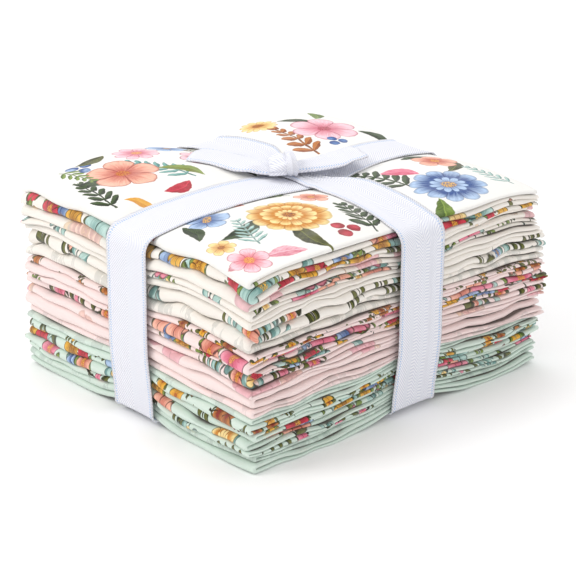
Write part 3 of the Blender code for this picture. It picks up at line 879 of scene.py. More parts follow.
class Graph:
    """Short names for the nodes of one shader or node group."""

    def __init__(self, tree):
        self.tree = tree

    def node(self, kind, **settings):
        made = self.tree.nodes.new(kind)
        for name, value in settings.items():
            setattr(made, name, value)
        return made

    def feed(self, socket, value):
        if isinstance(value, bpy.types.NodeSocket):
            self.tree.links.new(value, socket)
        elif value is not None:
            socket.default_value = value

    def math(self, operation, a, b=None, c=None, clamp=False):
        made = self.node("ShaderNodeMath", operation=operation, use_clamp=clamp)
        for socket, value in zip(made.inputs, (a, b, c)):
            self.feed(socket, value)
        return made.outputs[0]

    def vector(self, operation, a, b=None, scale=None):
        made = self.node("ShaderNodeVectorMath", operation=operation)
        self.feed(made.inputs[0], a)
        self.feed(made.inputs[1], b)
        if scale is not None:
            self.feed(made.inputs["Scale"], scale)
        return made.outputs["Value" if operation == "LENGTH" else "Vector"]

    def mix(self, share, a, b):
        made = self.node("ShaderNodeMix", data_type="RGBA")
        self.feed(made.inputs["Factor"], share)
        self.feed(made.inputs["A"], a)
        self.feed(made.inputs["B"], b)
        return next(s for s in made.outputs if s.type == "RGBA")

    def smooth(self, value, low, high, start=0.0, end=1.0):
        made = self.node("ShaderNodeMapRange", interpolation_type="SMOOTHSTEP")
        for socket, fed in zip(made.inputs, (value, low, high, start, end)):
            self.feed(socket, fed)
        return made.outputs[0]

    def divide(self, vector, size):
        """The vector divided by one number."""
        made = self.node("ShaderNodeVectorMath", operation="DIVIDE")
        self.feed(made.inputs[0], vector)
        self.feed(made.inputs[1], size)
        return made.outputs["Vector"]

    def split(self, vector):
        made = self.node("ShaderNodeSeparateXYZ")
        self.feed(made.inputs[0], vector)
        return made.outputs[0], made.outputs[1]

    def join(self, x, y):
        made = self.node("ShaderNodeCombineXYZ")
        self.feed(made.inputs[0], x)
        self.feed(made.inputs[1], y)
        return made.outputs[0]

    def noise(self, vector, scale, detail=2.0, dimensions="2D"):
        made = self.node("ShaderNodeTexNoise", noise_dimensions=dimensions)
        self.feed(made.inputs["Vector"], vector)
        made.inputs["Scale"].default_value = scale
        made.inputs["Detail"].default_value = detail
        return made.outputs["Fac"] if "Fac" in made.outputs else made.outputs[0]

    def place(self, vector, spot, turn, size):
        """The vector as seen from a spot: turned and scaled to a motif's own coordinates."""
        made = self.node("ShaderNodeMapping", vector_type="TEXTURE")
        self.feed(made.inputs["Vector"], vector)
        made.inputs["Location"].default_value = (*spot, 0.0)
        made.inputs["Rotation"].default_value = (0.0, 0.0, math.radians(turn))
        made.inputs["Scale"].default_value = (size, size, 1.0)
        return made.outputs[0]

    def group(self, name, **inputs):
        made = self.node("ShaderNodeGroup", node_tree=bpy.data.node_groups[name])
        for key, value in inputs.items():
            self.feed(made.inputs[key.replace("_", " ")], value)
        return made.outputs


def math_step(operation):
    def step(graph, *values, clamp=False):
        return graph.math(operation, *values, clamp=clamp)
    return step


MATH_STEPS = {
    "mul": "MULTIPLY", "muladd": "MULTIPLY_ADD", "add": "ADD", "sub": "SUBTRACT", "div": "DIVIDE",
    "least": "MINIMUM", "most": "MAXIMUM", "above": "GREATER_THAN", "below": "LESS_THAN",
    "abs": "ABSOLUTE", "sin": "SINE", "cos": "COSINE", "power": "POWER", "fract": "FRACT",
    "floor": "FLOOR", "arctan2": "ARCTAN2",
}
for short_name, operation in MATH_STEPS.items():
    setattr(Graph, short_name, math_step(operation))


def new_group(name, numbers, colours, outputs=("Color", "Mask")):
    """An empty node group with its sockets, and the graph that fills it."""
    tree = bpy.data.node_groups.new(name, "ShaderNodeTree")
    tree.interface.new_socket("Spot", in_out="INPUT", socket_type="NodeSocketVector")
    for label, value in numbers.items():
        socket = tree.interface.new_socket(label, in_out="INPUT", socket_type="NodeSocketFloat")
        socket.default_value = value
    for label in colours:
        tree.interface.new_socket(label, in_out="INPUT", socket_type="NodeSocketColor")
    for label in outputs:
        kind = "NodeSocketColor" if label == "Color" else "NodeSocketFloat"
        tree.interface.new_socket(label, in_out="OUTPUT", socket_type=kind)
    taken = tree.nodes.new("NodeGroupInput").outputs
    given = tree.nodes.new("NodeGroupOutput").inputs
    return Graph(tree), taken, given


def colour(red, green, blue):
    """A colour given in display values, as the linear one that a shader takes."""
    def linear(value):
        return value / 12.92 if value <= 0.04045 else ((value + 0.055) / 1.055) ** 2.4
    return (linear(red / 255), linear(green / 255), linear(blue / 255), 1.0)


def ink(red, green, blue):
    """A printing colour, given as it looks in a bright light."""
    return tuple(value ** 1.3 for value in colour(red, green, blue))


RIM_INK = ink(46, 36, 30)


def make_bloom_group():
    """A flower about the origin, its petals reaching 1: one ring of petals or several."""
    numbers = {"Petals": 5.0, "Rings": 1.0, "Notch": 0.35, "Heart size": 0.2, "Rim": 0.25}
    g, taken, given = new_group("bloom", numbers, ("Inner", "Outer", "Heart"))
    x, y = g.split(taken["Spot"])
    r = g.vector("LENGTH", g.join(x, y))
    angle = g.arctan2(y, x)
    half_turns = g.mul(angle, g.mul(taken["Petals"], 0.5))
    ring = g.mul(r, taken["Rings"])
    index = g.floor(ring)
    phase = g.muladd(index, math.pi / 2, half_turns)
    lobe = g.abs(g.cos(phase))
    rounded = g.power(lobe, 0.45)
    tip = g.sub(1.0, g.mul(taken["Notch"], g.sub(1.0, rounded)))
    inside = g.fract(ring)
    past_tip = g.smooth(inside, g.sub(tip, 0.08), tip)
    shade = g.smooth(inside, 0.0, 0.95)
    streaks = g.noise(g.join(g.mul(angle, 6.0), g.mul(r, 1.2)), 2.2, 2.0)
    shade = g.add(shade, g.mul(g.sub(streaks, 0.5), 0.9), clamp=True)
    shade = g.mul(shade, g.sub(1.0, g.mul(past_tip, 0.9)))
    vein = g.smooth(lobe, 0.0, 0.28)
    shade = g.mul(shade, g.muladd(vein, 0.7, 0.3))
    petals = g.mix(shade, taken["Inner"], taken["Outer"])
    heart = g.smooth(r, g.mul(taken["Heart size"], 1.15), g.mul(taken["Heart size"], 0.8))
    grain = g.noise(taken["Spot"], 22.0, 1.0)
    heart_colour = g.mix(g.smooth(grain, 0.42, 0.6), taken["Heart"], taken["Inner"])
    painted = g.mix(heart, petals, heart_colour)
    outline_phase = g.muladd(g.sub(taken["Rings"], 1.0), math.pi / 2, half_turns)
    outline = g.power(g.abs(g.cos(outline_phase)), 0.45)
    reach = g.sub(1.0, g.mul(g.div(taken["Notch"], taken["Rings"]), g.sub(1.0, outline)))
    inward = g.sub(reach, r)
    rim = g.mul(g.smooth(inward, 0.12, 0.03), taken["Rim"])
    rim = g.most(rim, g.mul(g.smooth(lobe, 0.20, 0.05), taken["Rim"]))
    g.feed(given["Color"], g.mix(rim, painted, RIM_INK))
    g.feed(given["Mask"], g.smooth(inward, 0.0, 0.03))


def make_sprig_group():
    """A stem from 0 to 1 along X with paired slanting leaves."""
    numbers = {"Pairs": 5.0, "Reach": 0.34, "Fullness": 0.42, "Slant": 0.8, "Rim": 0.3}
    g, taken, given = new_group("sprig", numbers, ("Dark", "Light"))
    x, y = g.split(taken["Spot"])
    side = g.abs(y)
    root = g.sub(x, g.mul(side, taken["Slant"]))
    steps = g.mul(root, taken["Pairs"])
    spread = g.sub(g.fract(steps), 0.5)
    middle = g.div(g.add(g.floor(steps), 0.5), taken["Pairs"])
    length = g.mul(taken["Reach"], g.sub(1.08, g.mul(middle, 0.75)))
    out = g.div(side, length)
    width = g.power(g.sin(g.mul(g.least(out, 1.0), math.pi)), 0.7)
    width = g.mul(taken["Fullness"], width)
    leaf = g.smooth(g.sub(width, g.abs(spread)), 0.0, 0.07)
    in_row = g.mul(g.above(root, 0.02), g.below(root, 1.0))
    leaf = g.mul(leaf, in_row)
    leaf = g.mul(leaf, g.below(out, 1.0))
    on_stem = g.mul(g.above(x, -0.04), g.below(x, 1.0))
    stem = g.mul(g.smooth(side, 0.022, 0.010), on_stem)
    midrib = g.smooth(g.abs(spread), 0.06, 0.02)
    two_tone = g.smooth(spread, -0.10, 0.12)
    wash = g.noise(taken["Spot"], 9.0, 2.0)
    tone = g.add(g.mul(two_tone, 0.55), g.mul(wash, 0.5), clamp=True)
    tone = g.most(tone, g.mul(midrib, 0.9))
    rim = g.smooth(g.sub(width, g.abs(spread)), 0.16, 0.05)
    rim = g.mul(rim, taken["Rim"])
    g.feed(given["Color"], g.mix(rim, g.mix(tone, taken["Dark"], taken["Light"]), RIM_INK))
    g.feed(given["Mask"], g.most(leaf, stem))


def make_leaf_group():
    """One leaf or petal from 0 to 1 along X, bent to one side."""
    g, taken, given = new_group("leaf", {"Width": 0.2, "Bend": 0.2}, ("Dark", "Light"))
    x, y = g.split(taken["Spot"])
    arch = g.mul(g.sub(1.0, x), x)
    off = g.sub(y, g.mul(g.mul(arch, 4.0), taken["Bend"]))
    swell = g.power(g.sin(g.mul(g.most(g.least(x, 1.0), 0.0), math.pi)), 0.8)
    width = g.mul(taken["Width"], swell)
    inside = g.smooth(g.sub(width, g.abs(off)), 0.0, 0.02)
    in_span = g.mul(g.above(x, 0.0), g.below(x, 1.0))
    ribs = g.sin(g.mul(g.sub(x, g.abs(off)), 62.0))
    midrib = g.smooth(g.abs(off), 0.022, 0.006)
    wash = g.noise(taken["Spot"], 6.0, 2.0)
    tone = g.muladd(wash, 0.9, -0.15)
    tone = g.add(tone, g.mul(g.above(off, 0.0), 0.22), clamp=True)
    tone = g.add(tone, g.mul(ribs, 0.07), clamp=True)
    tone = g.most(tone, midrib)
    g.feed(given["Color"], g.mix(tone, taken["Dark"], taken["Light"]))
    g.feed(given["Mask"], g.mul(inside, in_span))


def make_berries_group():
    """Three round berries about the origin, each with a light spot."""
    g, taken, given = new_group("berries", {}, ("Dark", "Light"))
    x, y = g.split(taken["Spot"])
    r = g.vector("LENGTH", g.join(x, y))
    angle = g.arctan2(y, x)
    third = TURN / 3
    folded = g.sub(g.math("FLOORED_MODULO", angle, third), third / 2)
    px = g.sub(g.mul(r, g.cos(folded)), 0.52)
    py = g.mul(r, g.sin(folded))
    away = g.vector("LENGTH", g.join(px, py))
    shine = g.vector("LENGTH", g.join(g.sub(px, 0.08), g.sub(py, 0.12)))
    tone = g.smooth(shine, 0.42, 0.05)
    tone = g.mul(tone, g.muladd(g.noise(taken["Spot"], 3.0, 2.0), 0.9, 0.3), clamp=True)
    g.feed(given["Color"], g.mix(tone, taken["Dark"], taken["Light"]))
    g.feed(given["Mask"], g.smooth(away, 0.42, 0.39))


# Colours of the prints
CORAL_DARK = ink(196, 82, 62)
CORAL_LIGHT = ink(250, 202, 182)
YELLOW_DARK = ink(214, 150, 40)
YELLOW = ink(240, 196, 92)
YELLOW_LIGHT = ink(250, 232, 176)
CRIMSON_DARK = ink(170, 36, 58)
CRIMSON = ink(222, 84, 104)
PINK_DARK = ink(214, 96, 128)
PINK = ink(244, 172, 190)
PINK_LIGHT = ink(252, 218, 226)
BLUE_DARK = ink(62, 100, 160)
BLUE = ink(120, 160, 210)
BLUE_LIGHT = ink(196, 216, 240)
TEAL_DARK = ink(86, 146, 142)
TEAL = ink(150, 196, 190)
TEAL_LIGHT = ink(206, 228, 222)
GREEN_DARK = ink(42, 54, 34)
GREEN = ink(86, 110, 56)
GREEN_LIGHT = ink(160, 180, 100)
OLIVE = ink(136, 138, 74)
BROWN_DARK = ink(150, 84, 40)
BROWN = ink(212, 150, 92)

GROUNDS = {
    "cream": colour(240, 234, 226),
    "blush": colour(243, 223, 220),
    "mint": colour(211, 226, 215),
}
TOP_GROUND = colour(238, 236, 232)
NIGHT = ink(24, 32, 22)

# Motifs of the top print: kind, place on the folded sheet, size, turn and colours
Motif = namedtuple("Motif", "kind x y size turn colours form")
TOP_MOTIFS = [Motif(*row) for row in (
    ("sprig", 22, -16, 42, -152, (GREEN_DARK, GREEN_LIGHT), (6, 0.22, 0.42)),
    ("leaf", 50, -64, 36, -76, (NIGHT, GREEN), (0.18, 0.12)),
    ("leaf", 68, -52, 36, -8, (NIGHT, OLIVE), (0.18, -0.14)),
    ("bloom", 56, -46, 25, 20, (YELLOW_DARK, YELLOW_LIGHT, BROWN_DARK), (13, 3, 0.45, 0.16)),
    ("bloom", 28, -84, 15, 0, (BLUE_DARK, BLUE_LIGHT, YELLOW), (5, 1, 0.4, 0.22)),
    ("sprig", 76, -86, 36, 160, (TEAL_DARK, TEAL_LIGHT), (7, 0.26, 0.36)),
    ("sprig", 99, -16, 46, 166, (NIGHT, GREEN), (6, 0.27, 0.50)),
    ("leaf", 22, -100, 30, -14, (NIGHT, GREEN), (0.18, 0.12)),
    ("bloom", 66, -104, 9, 12, (YELLOW_DARK, YELLOW_LIGHT, BROWN_DARK), (6, 1, 0.4, 0.24)),
    ("bloom", 36, -10, 11, 12, (CORAL_DARK, CORAL_LIGHT, YELLOW), (5, 1, 0.38, 0.22)),
    ("berries", 90, -34, 11, 15, (CRIMSON_DARK, CRIMSON), ()),
    ("leaf", 90, -92, 24, 70, (PINK_DARK, PINK_LIGHT), (0.24, 0.1)),
    ("bloom", 88, -102, 13, 30, (CRIMSON, PINK_LIGHT, YELLOW), (6, 1, 0.4, 0.24)),
    ("leaf", 22, -50, 22, 160, (CORAL_DARK, CORAL_LIGHT), (0.2, 0.15)),
    ("sprig", -34, -40, 46, 205, (TEAL_DARK, TEAL), (7, 0.24, 0.38)),
    ("leaf", -46, -74, 36, 245, (NIGHT, GREEN), (0.18, -0.15)),
    ("bloom", -56, -12, 17, 30, (CRIMSON_DARK, PINK_LIGHT, YELLOW), (8, 1, 0.36, 0.22)),
    ("leaf", -42, -8, 24, 12, (NIGHT, GREEN), (0.19, 0.12)),
    ("sprig", -72, -8, 30, 165, (NIGHT, OLIVE), (5, 0.28, 0.46)),
    ("leaf", -26, -70, 24, 100, (CRIMSON_DARK, CRIMSON), (0.2, -0.15)),
    ("leaf", -54, -52, 30, 40, (OLIVE, GREEN_LIGHT), (0.16, 0.14)),
    ("bloom", -60, -72, 23, 10, (CORAL_DARK, CORAL_LIGHT, YELLOW_DARK), (5, 1, 0.36, 0.2)),
    ("bloom", -86, -42, 15, 40, (PINK_DARK, PINK_LIGHT, YELLOW), (8, 1, 0.34, 0.24)),
    ("berries", -88, -84, 10, 50, (BLUE_DARK, BLUE_LIGHT), ()),
    ("sprig", -92, -96, 30, 10, (GREEN, GREEN_LIGHT), (5, 0.26, 0.4)),
    ("leaf", -30, -98, 20, 20, (YELLOW_DARK, YELLOW), (0.2, 0.2)),
    ("sprig", -28, -106, 40, 172, (NIGHT, GREEN), (6, 0.24, 0.48)),
    ("leaf", -97, -58, 26, -84, (NIGHT, OLIVE), (0.2, 0.14)),
    ("bloom", -90, -16, 13, 12, (BLUE_DARK, BLUE_LIGHT, YELLOW), (6, 1, 0.36, 0.22)),
    ("sprig", 62, 46, 46, 186, (NIGHT, GREEN), (6, 0.26, 0.46)),
    ("leaf", 24, 76, 26, 84, (NIGHT, GREEN), (0.18, 0.12)),
    ("bloom", 76, 64, 24, 15, (BLUE_DARK, BLUE_LIGHT, YELLOW), (11, 2, 0.45, 0.2)),
    ("leaf", 88, 44, 26, -40, (GREEN, GREEN_LIGHT), (0.18, 0.14)),
    ("leaf", 60, 80, 30, 130, (NIGHT, OLIVE), (0.17, -0.12)),
    ("bloom", 38, 92, 15, 0, (CORAL_DARK, CORAL_LIGHT, YELLOW), (5, 1, 0.4, 0.22)),
    ("sprig", 90, 104, 34, 190, (TEAL_DARK, TEAL_LIGHT), (6, 0.26, 0.36)),
    ("leaf", 34, 48, 24, 40, (PINK_DARK, PINK), (0.26, 0.12)),
    ("sprig", -24, 52, 52, 172, (BROWN_DARK, BROWN), (6, 0.2, 0.44)),
    ("leaf", -84, 72, 26, 40, (NIGHT, GREEN), (0.18, 0.12)),
    ("bloom", -52, 84, 23, 25, (PINK_DARK, PINK_LIGHT, CRIMSON_DARK), (6, 1, 0.34, 0.2)),
    ("leaf", -38, 100, 30, 20, (NIGHT, GREEN), (0.17, 0.14)),
    ("leaf", -72, 96, 26, 150, (GREEN, GREEN_LIGHT), (0.18, -0.14)),
    ("bloom", -86, 58, 13, 10, (YELLOW_DARK, YELLOW_LIGHT, BROWN_DARK), (12, 1, 0.3, 0.3)),
    ("berries", -30, 74, 8, 0, (BLUE_DARK, BLUE), ()),
)]


LOBES = ("front", "left", "right", "back")


def lobe_of(x, y):
    """Which of the four lobes between the tapes a point of the top lies on."""
    if y < TAPE_Y_AT_CROSSING:
        return "front" if x > TAPE_X else "left"
    return "right" if x > TAPE_X else "back"


# Names of each motif's inputs: those of its form, then those of its colours
MOTIF_INPUTS = {
    "bloom": (("Petals", "Rings", "Notch", "Heart_size"), ("Inner", "Outer", "Heart")),
    "sprig": (("Pairs", "Reach", "Fullness"), ("Dark", "Light")),
    "leaf": (("Width", "Bend"), ("Dark", "Light")),
    "berries": ((), ("Dark", "Light")),
}


def draw_motif(g, spot, ground, motif):
    """The ground colour with one motif laid over it."""
    local = g.place(spot, (motif.x, motif.y), motif.turn, motif.size)
    forms, colours = MOTIF_INPUTS[motif.kind]
    inputs = dict(zip(forms + colours, motif.form + motif.colours))
    made = g.group(motif.kind, Spot=local, **inputs)
    return g.mix(made["Mask"], ground, made["Color"])


def make_scatter_group():
    """Flowers with leaves, in some cells of an uneven grid, over a ground colour."""
    numbers = {"Cell": 24.0, "Petals": 5.0, "Rings": 1.0, "Flower": 0.26, "Leaf": 0.9,
               "Density": 1.0, "Rim": 0.8}
    colours = ("Ground", "Inner A", "Outer A", "Inner B", "Outer B", "Heart", "Dark", "Light")
    g, taken, given = new_group("scatter", numbers, colours, ("Color",))
    cells = g.divide(taken["Spot"], taken["Cell"])
    voronoi = g.node("ShaderNodeTexVoronoi", voronoi_dimensions="2D", feature="F1")
    g.feed(voronoi.inputs["Vector"], cells)
    set_inputs(voronoi, Scale=1.0, Randomness=0.7)
    local = g.vector("SUBTRACT", cells, voronoi.outputs["Position"])
    chance = g.node("ShaderNodeSeparateColor")
    g.feed(chance.inputs[0], voronoi.outputs["Color"])
    present = g.below(chance.outputs[2], taken["Density"])
    turned = g.node("ShaderNodeVectorRotate", rotation_type="Z_AXIS")
    g.feed(turned.inputs["Vector"], local)
    g.feed(turned.inputs["Angle"], g.mul(chance.outputs[0], TURN))
    local = turned.outputs[0]
    shifted = g.vector("ADD", local, (0.48, 0.0, 0.0))
    sprig = g.group("sprig", Spot=shifted, Pairs=4.0, Reach=0.36, Fullness=0.42,
                    Dark=taken["Dark"], Light=taken["Light"], Rim=taken["Rim"])
    pick = g.above(chance.outputs[1], 0.5)
    inner = g.mix(pick, taken["Inner A"], taken["Inner B"])
    outer = g.mix(pick, taken["Outer A"], taken["Outer B"])
    spread = g.fract(g.mul(chance.outputs[1], 5.3))
    size = g.mul(taken["Flower"], g.muladd(spread, 0.6, 0.7))
    bloom = g.group("bloom", Spot=g.divide(local, size), Petals=taken["Petals"], Rings=taken["Rings"],
                    Notch=0.36, Heart_size=0.24, Inner=inner, Outer=outer, Heart=taken["Heart"],
                    Rim=taken["Rim"])
    leaf_mask = g.mul(g.mul(sprig["Mask"], taken["Leaf"]), present)
    laid = g.mix(leaf_mask, taken["Ground"], sprig["Color"])
    g.feed(given["Color"], g.mix(g.mul(bloom["Mask"], present), laid, bloom["Color"]))


def pale(tone, ground, share):
    """A colour washed towards the ground colour."""
    return tuple(mix(tone[k], ground[k], share) for k in range(3)) + (1.0,)


# Layers of the scattered prints: cell size, petals, rings, flower and leaf sizes, density, wash
# towards the ground, flower colours, heart, leaf colours and shift
Layer = namedtuple("Layer", "cell petals rings flower leaf density wash inks heart leaves shift")
GREY = colour(128, 138, 134)
CORAL_PINK = (CORAL_DARK, CORAL_LIGHT, PINK_DARK, PINK)
YELLOW_BLUE = (YELLOW_DARK, YELLOW_LIGHT, BLUE_DARK, BLUE_LIGHT)
BLUE_TEAL = (BLUE_DARK, BLUE_LIGHT, TEAL_DARK, TEAL_LIGHT)
RED_YELLOW = (CRIMSON_DARK, CRIMSON, BROWN_DARK, YELLOW)
GREYS = (GREY, GREY, GREY, GREY)
DARK_LEAF = (GREEN_DARK, GREEN_LIGHT)
OLIVE_LEAF = (GREEN_DARK, OLIVE)
TEAL_LEAF = (TEAL_DARK, TEAL_LIGHT)
GREY_LEAF = (GREY, GREY)
DESIGNS = {name: [Layer(*row) for row in rows] for name, rows in (
    ("plain", ()),
    ("garden", (
        (34.0, 12, 2, 0.30, 1.0, 0.80, 0.0, YELLOW_BLUE, BROWN_DARK, TEAL_LEAF, (11.0, 2.0)),
        (26.0, 5, 1, 0.36, 1.0, 0.90, 0.0, CORAL_PINK, YELLOW, DARK_LEAF, (3.0, 7.0)),
    )),
    ("posy", (
        (30.0, 5, 1, 0.34, 1.0, 0.80, 0.0, BLUE_TEAL, YELLOW, OLIVE_LEAF, (17.0, 9.0)),
        (21.0, 8, 1, 0.34, 1.0, 0.85, 0.0, RED_YELLOW, YELLOW, DARK_LEAF, (5.0, 1.0)),
    )),
    ("leaves", (
        (26.0, 5, 1, 0.16, 1.0, 0.85, 0.0, CORAL_PINK, YELLOW, OLIVE_LEAF, (9.0, 9.0)),
        (26.0, 5, 1, 0.10, 1.0, 0.40, 0.0, YELLOW_BLUE, YELLOW, TEAL_LEAF, (1.0, 4.0)),
    )),
    ("spray", (
        (24.0, 5, 1, 0.14, 1.0, 0.65, 0.0, YELLOW_BLUE, YELLOW, DARK_LEAF, (1.0, 3.0)),
        (36.0, 5, 1, 0.30, 1.0, 0.85, 0.0, CORAL_PINK, YELLOW, TEAL_LEAF, (9.0, 9.0)),
    )),
    ("ditsy", (
        (14.0, 5, 1, 0.26, 1.0, 0.85, 0.0, (BROWN_DARK, BROWN, YELLOW_DARK, YELLOW), CRIMSON_DARK,
         OLIVE_LEAF, (2.0, 6.0)),
    )),
    ("outline", (
        (32.0, 6, 3, 0.36, 0.8, 0.85, 0.50, CORAL_PINK, YELLOW_DARK, (BROWN_DARK, YELLOW), (4.0, 4.0)),
    )),
    ("dots", (
        (9.0, 6, 1, 0.24, 0.8, 0.9, 0.72, GREYS, GREY, GREY_LEAF, (0.0, 0.0)),
    )),
    ("tonal", (
        (15.0, 6, 2, 0.30, 0.9, 0.9, 0.80, GREYS, GREY, GREY_LEAF, (2.0, 0.0)),
    )),
)}


def draw_design(g, spot, design, ground):
    """The print of a fat quarter, by the name of its design."""
    result = ground
    if design in LOBES:
        for motif in TOP_MOTIFS:
            if lobe_of(motif.x, motif.y) == design:
                result = draw_motif(g, spot, result, motif)
        return result
    for layer in DESIGNS[design]:
        inks = [pale(ink, ground, layer.wash) for ink in (*layer.inks, layer.heart, *layer.leaves)]
        moved = g.vector("ADD", spot, (*layer.shift, 0.0))
        made = g.group("scatter", Spot=moved, Cell=layer.cell, Petals=layer.petals, Rings=layer.rings,
                       Flower=layer.flower, Leaf=layer.leaf, Density=layer.density, Ground=result,
                       Inner_A=inks[0], Outer_A=inks[1], Inner_B=inks[2], Outer_B=inks[3],
                       Heart=inks[4], Dark=inks[5], Light=inks[6], Rim=0.8 * (1 - layer.wash) ** 2)
        result = made["Color"]
    return result


THREAD = 0.34
SHADE = colour(80, 64, 56)
SHADE_SHARE = 0.9
SHADE_START = 0.35

# How far the cloth stays light before and after a fold, on the way along the flat sheet
CREASE_REACH = (3.4, 2.0)
HALF_FOLD_REACH = (5.2, 3.8)

# Depth of the weave's relief, in metres
BUMP_DISTANCE = 0.0004


def shade_inside_folds(g, u, v, printed):
    """Darker where a layer runs in between its neighbours, away from every fold and edge."""
    inside = SHADE_SHARE
    for place, folds, (before, after) in (
        (u, (0.0, 2 * HALF_X + 0.8, 4 * HALF_X + 2.0), CREASE_REACH),
        (v, (0.0, 2 * HALF_Y + 1.6, 4 * HALF_Y + math.pi), HALF_FOLD_REACH),
    ):
        for fold in folds:
            past = g.sub(place, fold)
            away = g.most(g.div(past, after), g.div(past, -before))
            inside = g.least(inside, g.smooth(away, SHADE_START, 1.0, 0.0, SHADE_SHARE))
    return g.mix(inside, printed, SHADE)


def new_material(name):
    """A material, its graph and its shader."""
    material = bpy.data.materials.new(name)
    material.use_nodes = True
    return material, Graph(material.node_tree), material.node_tree.nodes["Principled BSDF"]


def set_inputs(node, **values):
    for name, value in values.items():
        node.inputs[name.replace("_", " ")].default_value = value


def flat_place(g):
    """Place on the flat sheet, in millimetres."""
    return g.vector("SCALE", g.node("ShaderNodeUVMap", uv_map="flat").outputs[0], scale=1000.0)


def finish_cloth(g, shader, tone, height, relief, roughness, specular, sheen):
    """Colour, relief and the way in which the cloth takes the light."""
    bump = g.node("ShaderNodeBump")
    set_inputs(bump, Strength=relief, Distance=BUMP_DISTANCE)
    g.feed(bump.inputs["Height"], height)
    g.feed(shader.inputs["Base Color"], tone)
    g.feed(shader.inputs["Normal"], bump.outputs[0])
    set_inputs(shader, Roughness=roughness, Specular_IOR_Level=specular, Sheen_Weight=sheen,
               Sheen_Roughness=0.5)


def cotton_material(number, design):
    """Printed cotton: the design, a plain weave and a little unevenness."""
    row = FAT_QUARTERS[number]
    material, g, shader = new_material(f"cotton_{number + 1:02d}_{design}")
    flat_mm = flat_place(g)
    u, v = g.split(flat_mm)
    plan = g.join(g.sub(u, HALF_X), g.sub(HALF_Y, v))
    dice = random.Random(3000 + number)
    spot = plan
    if design not in LOBES:
        moved = g.node("ShaderNodeMapping", vector_type="POINT")
        g.feed(moved.inputs["Vector"], plan)
        shift = (dice.uniform(0, 200), dice.uniform(0, 200), 0.0)
        set_inputs(moved, Location=shift, Rotation=(0.0, 0.0, dice.uniform(0.0, 0.6)))
        spot = moved.outputs[0]
    wobble = g.node("ShaderNodeTexNoise", noise_dimensions="2D")
    g.feed(wobble.inputs["Vector"], spot)
    set_inputs(wobble, Scale=0.22, Detail=3.0)
    bent = g.vector("SUBTRACT", wobble.outputs["Color"], (0.5, 0.5, 0.5))
    bent = g.vector("ADD", spot, g.vector("SCALE", bent, scale=1.6))
    ground = TOP_GROUND if design in LOBES else GROUNDS[row.slot]
    printed = draw_design(g, bent, design, ground)
    mottle = g.noise(flat_mm, 0.05, 3.0)
    dulled = pale(ground, (0.6, 0.6, 0.6), 0.45)
    printed = g.mix(g.smooth(mottle, 0.35, 0.75, 0.0, 0.10), printed, dulled)
    if design not in LOBES:
        printed = shade_inside_folds(g, u, v, printed)
    threads = g.mul(g.sin(g.mul(u, TURN / THREAD)), g.sin(g.mul(v, TURN / THREAD)))
    slub = g.noise(g.join(g.mul(u, 0.35), g.mul(v, 4.0)), 1.0, 2.0)
    weave = g.muladd(threads, 0.5, g.mul(slub, 0.7))
    thread_shade = g.smooth(weave, -0.4, 1.1, 0.965, 1.0)
    tinted = g.node("ShaderNodeMix", data_type="RGBA", blend_type="MULTIPLY")
    tinted.inputs["Factor"].default_value = 1.0
    g.feed(tinted.inputs["A"], printed)
    shade = g.node("ShaderNodeCombineColor")
    for k in range(3):
        g.feed(shade.inputs[k], thread_shade)
    g.feed(tinted.inputs["B"], shade.outputs[0])
    tone = next(s for s in tinted.outputs if s.type == "RGBA")
    height = g.muladd(g.noise(flat_mm, 0.09, 4.0), 2.2, g.mul(weave, 0.14))
    finish_cloth(g, shader, tone, height, relief=0.55, roughness=0.88, specular=0.25, sheen=0.18)
    return material


TWILL_PITCH = 1.9
TAPE_WHITE = colour(240, 240, 245)
TAPE_SHADE = colour(212, 214, 227)
TAPE_BLUE = colour(158, 190, 230)


def tape_material():
    """Herringbone twill: slanting ribs mirrored about the tape's middle, and a fine edge line."""
    material, g, shader = new_material("twill_tape")
    u, v = g.split(flat_place(g))
    side = g.abs(u)
    slanted = g.add(v, g.mul(side, 1.25))
    ribs = g.sin(g.mul(slanted, TURN / TWILL_PITCH))
    picks = g.sin(g.mul(v, TURN / 0.42))
    on_band = g.mul(g.smooth(side, 14.2, 14.6), g.smooth(side, 15.8, 15.4))
    dashes = g.smooth(g.sin(g.mul(v, TURN / 1.5)), -0.2, 0.5)
    line = g.mul(g.mul(on_band, dashes), 0.8)
    base = g.mix(g.smooth(ribs, -0.9, 0.6), TAPE_SHADE, TAPE_WHITE)
    base = g.mix(line, base, TAPE_BLUE)
    height = g.muladd(picks, 0.12, g.mul(ribs, 0.5))
    wear = g.noise(g.join(u, v), 0.12, 3.0)
    height = g.muladd(wear, 1.6, height)
    finish_cloth(g, shader, base, height, relief=0.5, roughness=0.75, specular=0.3, sheen=0.2)
    return material


# Camera, lights and floor

TARGET = Vector((0.0, 0.0, 0.055))
AZIMUTH = math.radians(47.71)
ELEVATION = math.radians(21.40)
ROLL = math.radians(0.26)
DISTANCE = 1.231
FOCAL_PIXELS = 2070.0
FRAME_PIXELS = 576.0
AIM_RIGHT = 0.00433
AIM_DOWN = 0.00664


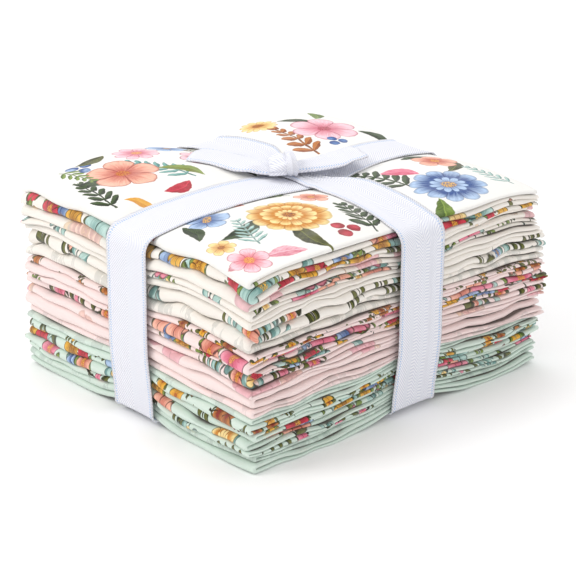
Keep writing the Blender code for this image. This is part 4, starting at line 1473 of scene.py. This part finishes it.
def make_camera():
    back = Vector((
        math.sin(AZIMUTH) * math.cos(ELEVATION),
        -math.cos(AZIMUTH) * math.cos(ELEVATION),
        math.sin(ELEVATION),
    ))
    right = Vector((math.cos(AZIMUTH), math.sin(AZIMUTH), 0.0))
    up = back.cross(right)
    place = TARGET + back * DISTANCE
    aim = TARGET + right * AIM_RIGHT - up * AIM_DOWN
    data = bpy.data.cameras.new("camera")
    data.sensor_width = 36.0
    data.lens = FOCAL_PIXELS / FRAME_PIXELS * data.sensor_width
    data.clip_start = 0.05
    data.clip_end = 50.0
    camera = bpy.data.objects.new("camera", data)
    camera.location = place
    turn = (aim - place).to_track_quat("-Z", "Y").to_matrix() @ Matrix.Rotation(ROLL, 3, "Z")
    camera.rotation_euler = turn.to_euler()
    bpy.context.scene.collection.objects.link(camera)
    bpy.context.scene.camera = camera


def make_area_light(name, place, size, power, tint):
    data = bpy.data.lights.new(name, "AREA")
    data.shape = "DISK"
    data.size = size
    data.energy = power
    data.color = tint
    light = bpy.data.objects.new(name, data)
    light.location = place
    light.rotation_euler = (TARGET - Vector(place)).to_track_quat("-Z", "Y").to_euler()
    bpy.context.scene.collection.objects.link(light)


def make_studio():
    world = bpy.data.worlds.new("studio")
    bpy.context.scene.world = world
    world.use_nodes = True
    set_inputs(world.node_tree.nodes["Background"], Color=(1.0, 1.0, 1.0, 1.0), Strength=0.80)
    make_area_light("key", (-0.55, -1.05, 1.15), 0.7, 8.0, (1.0, 0.99, 0.97))
    make_area_light("fill", (1.25, -0.35, 0.75), 0.9, 2.0, (0.97, 0.98, 1.0))
    make_area_light("top", (-0.3, 0.35, 1.5), 1.0, 6.8, (1.0, 1.0, 1.0))
    bpy.ops.mesh.primitive_plane_add(size=16.0, location=(0.0, 0.0, -0.0002))
    floor = bpy.context.object
    floor.name = "floor"
    material, g, shader = new_material("pale_floor")
    spot = g.node("ShaderNodeTexCoord").outputs["Object"]
    grain = g.noise(spot, 3.0, 2.0, "3D")
    g.feed(shader.inputs["Base Color"], g.mix(grain, (0.96, 0.96, 0.96, 1.0), (0.98, 0.98, 0.98, 1.0)))
    shader.inputs["Roughness"].default_value = 0.9
    floor.data.materials.append(material)
    return floor


def build_bundle():
    make_bloom_group()
    make_sprig_group()
    make_leaf_group()
    make_berries_group()
    make_scatter_group()
    make_camera()
    floor = make_studio()
    bpy.context.scene.view_settings.view_transform = "Standard"
    cloths = [build_fat_quarter(number) for number in range(len(FAT_QUARTERS))]
    tape = tape_material()
    depth_loop = build_loop("tape_over_depth", "tape_depth_loop", "y", tape)
    width_loop = build_loop("tape_over_width", "tape_width_loop", "x", tape)
    knot = build_knot(tape)
    left = build_tail("tape_end_left", "tape_tail_left", TAIL_LEFT, 61, tape)
    right = build_tail("tape_end_right", "tape_tail_right", TAIL_RIGHT, 62, tape)


build_bundle()
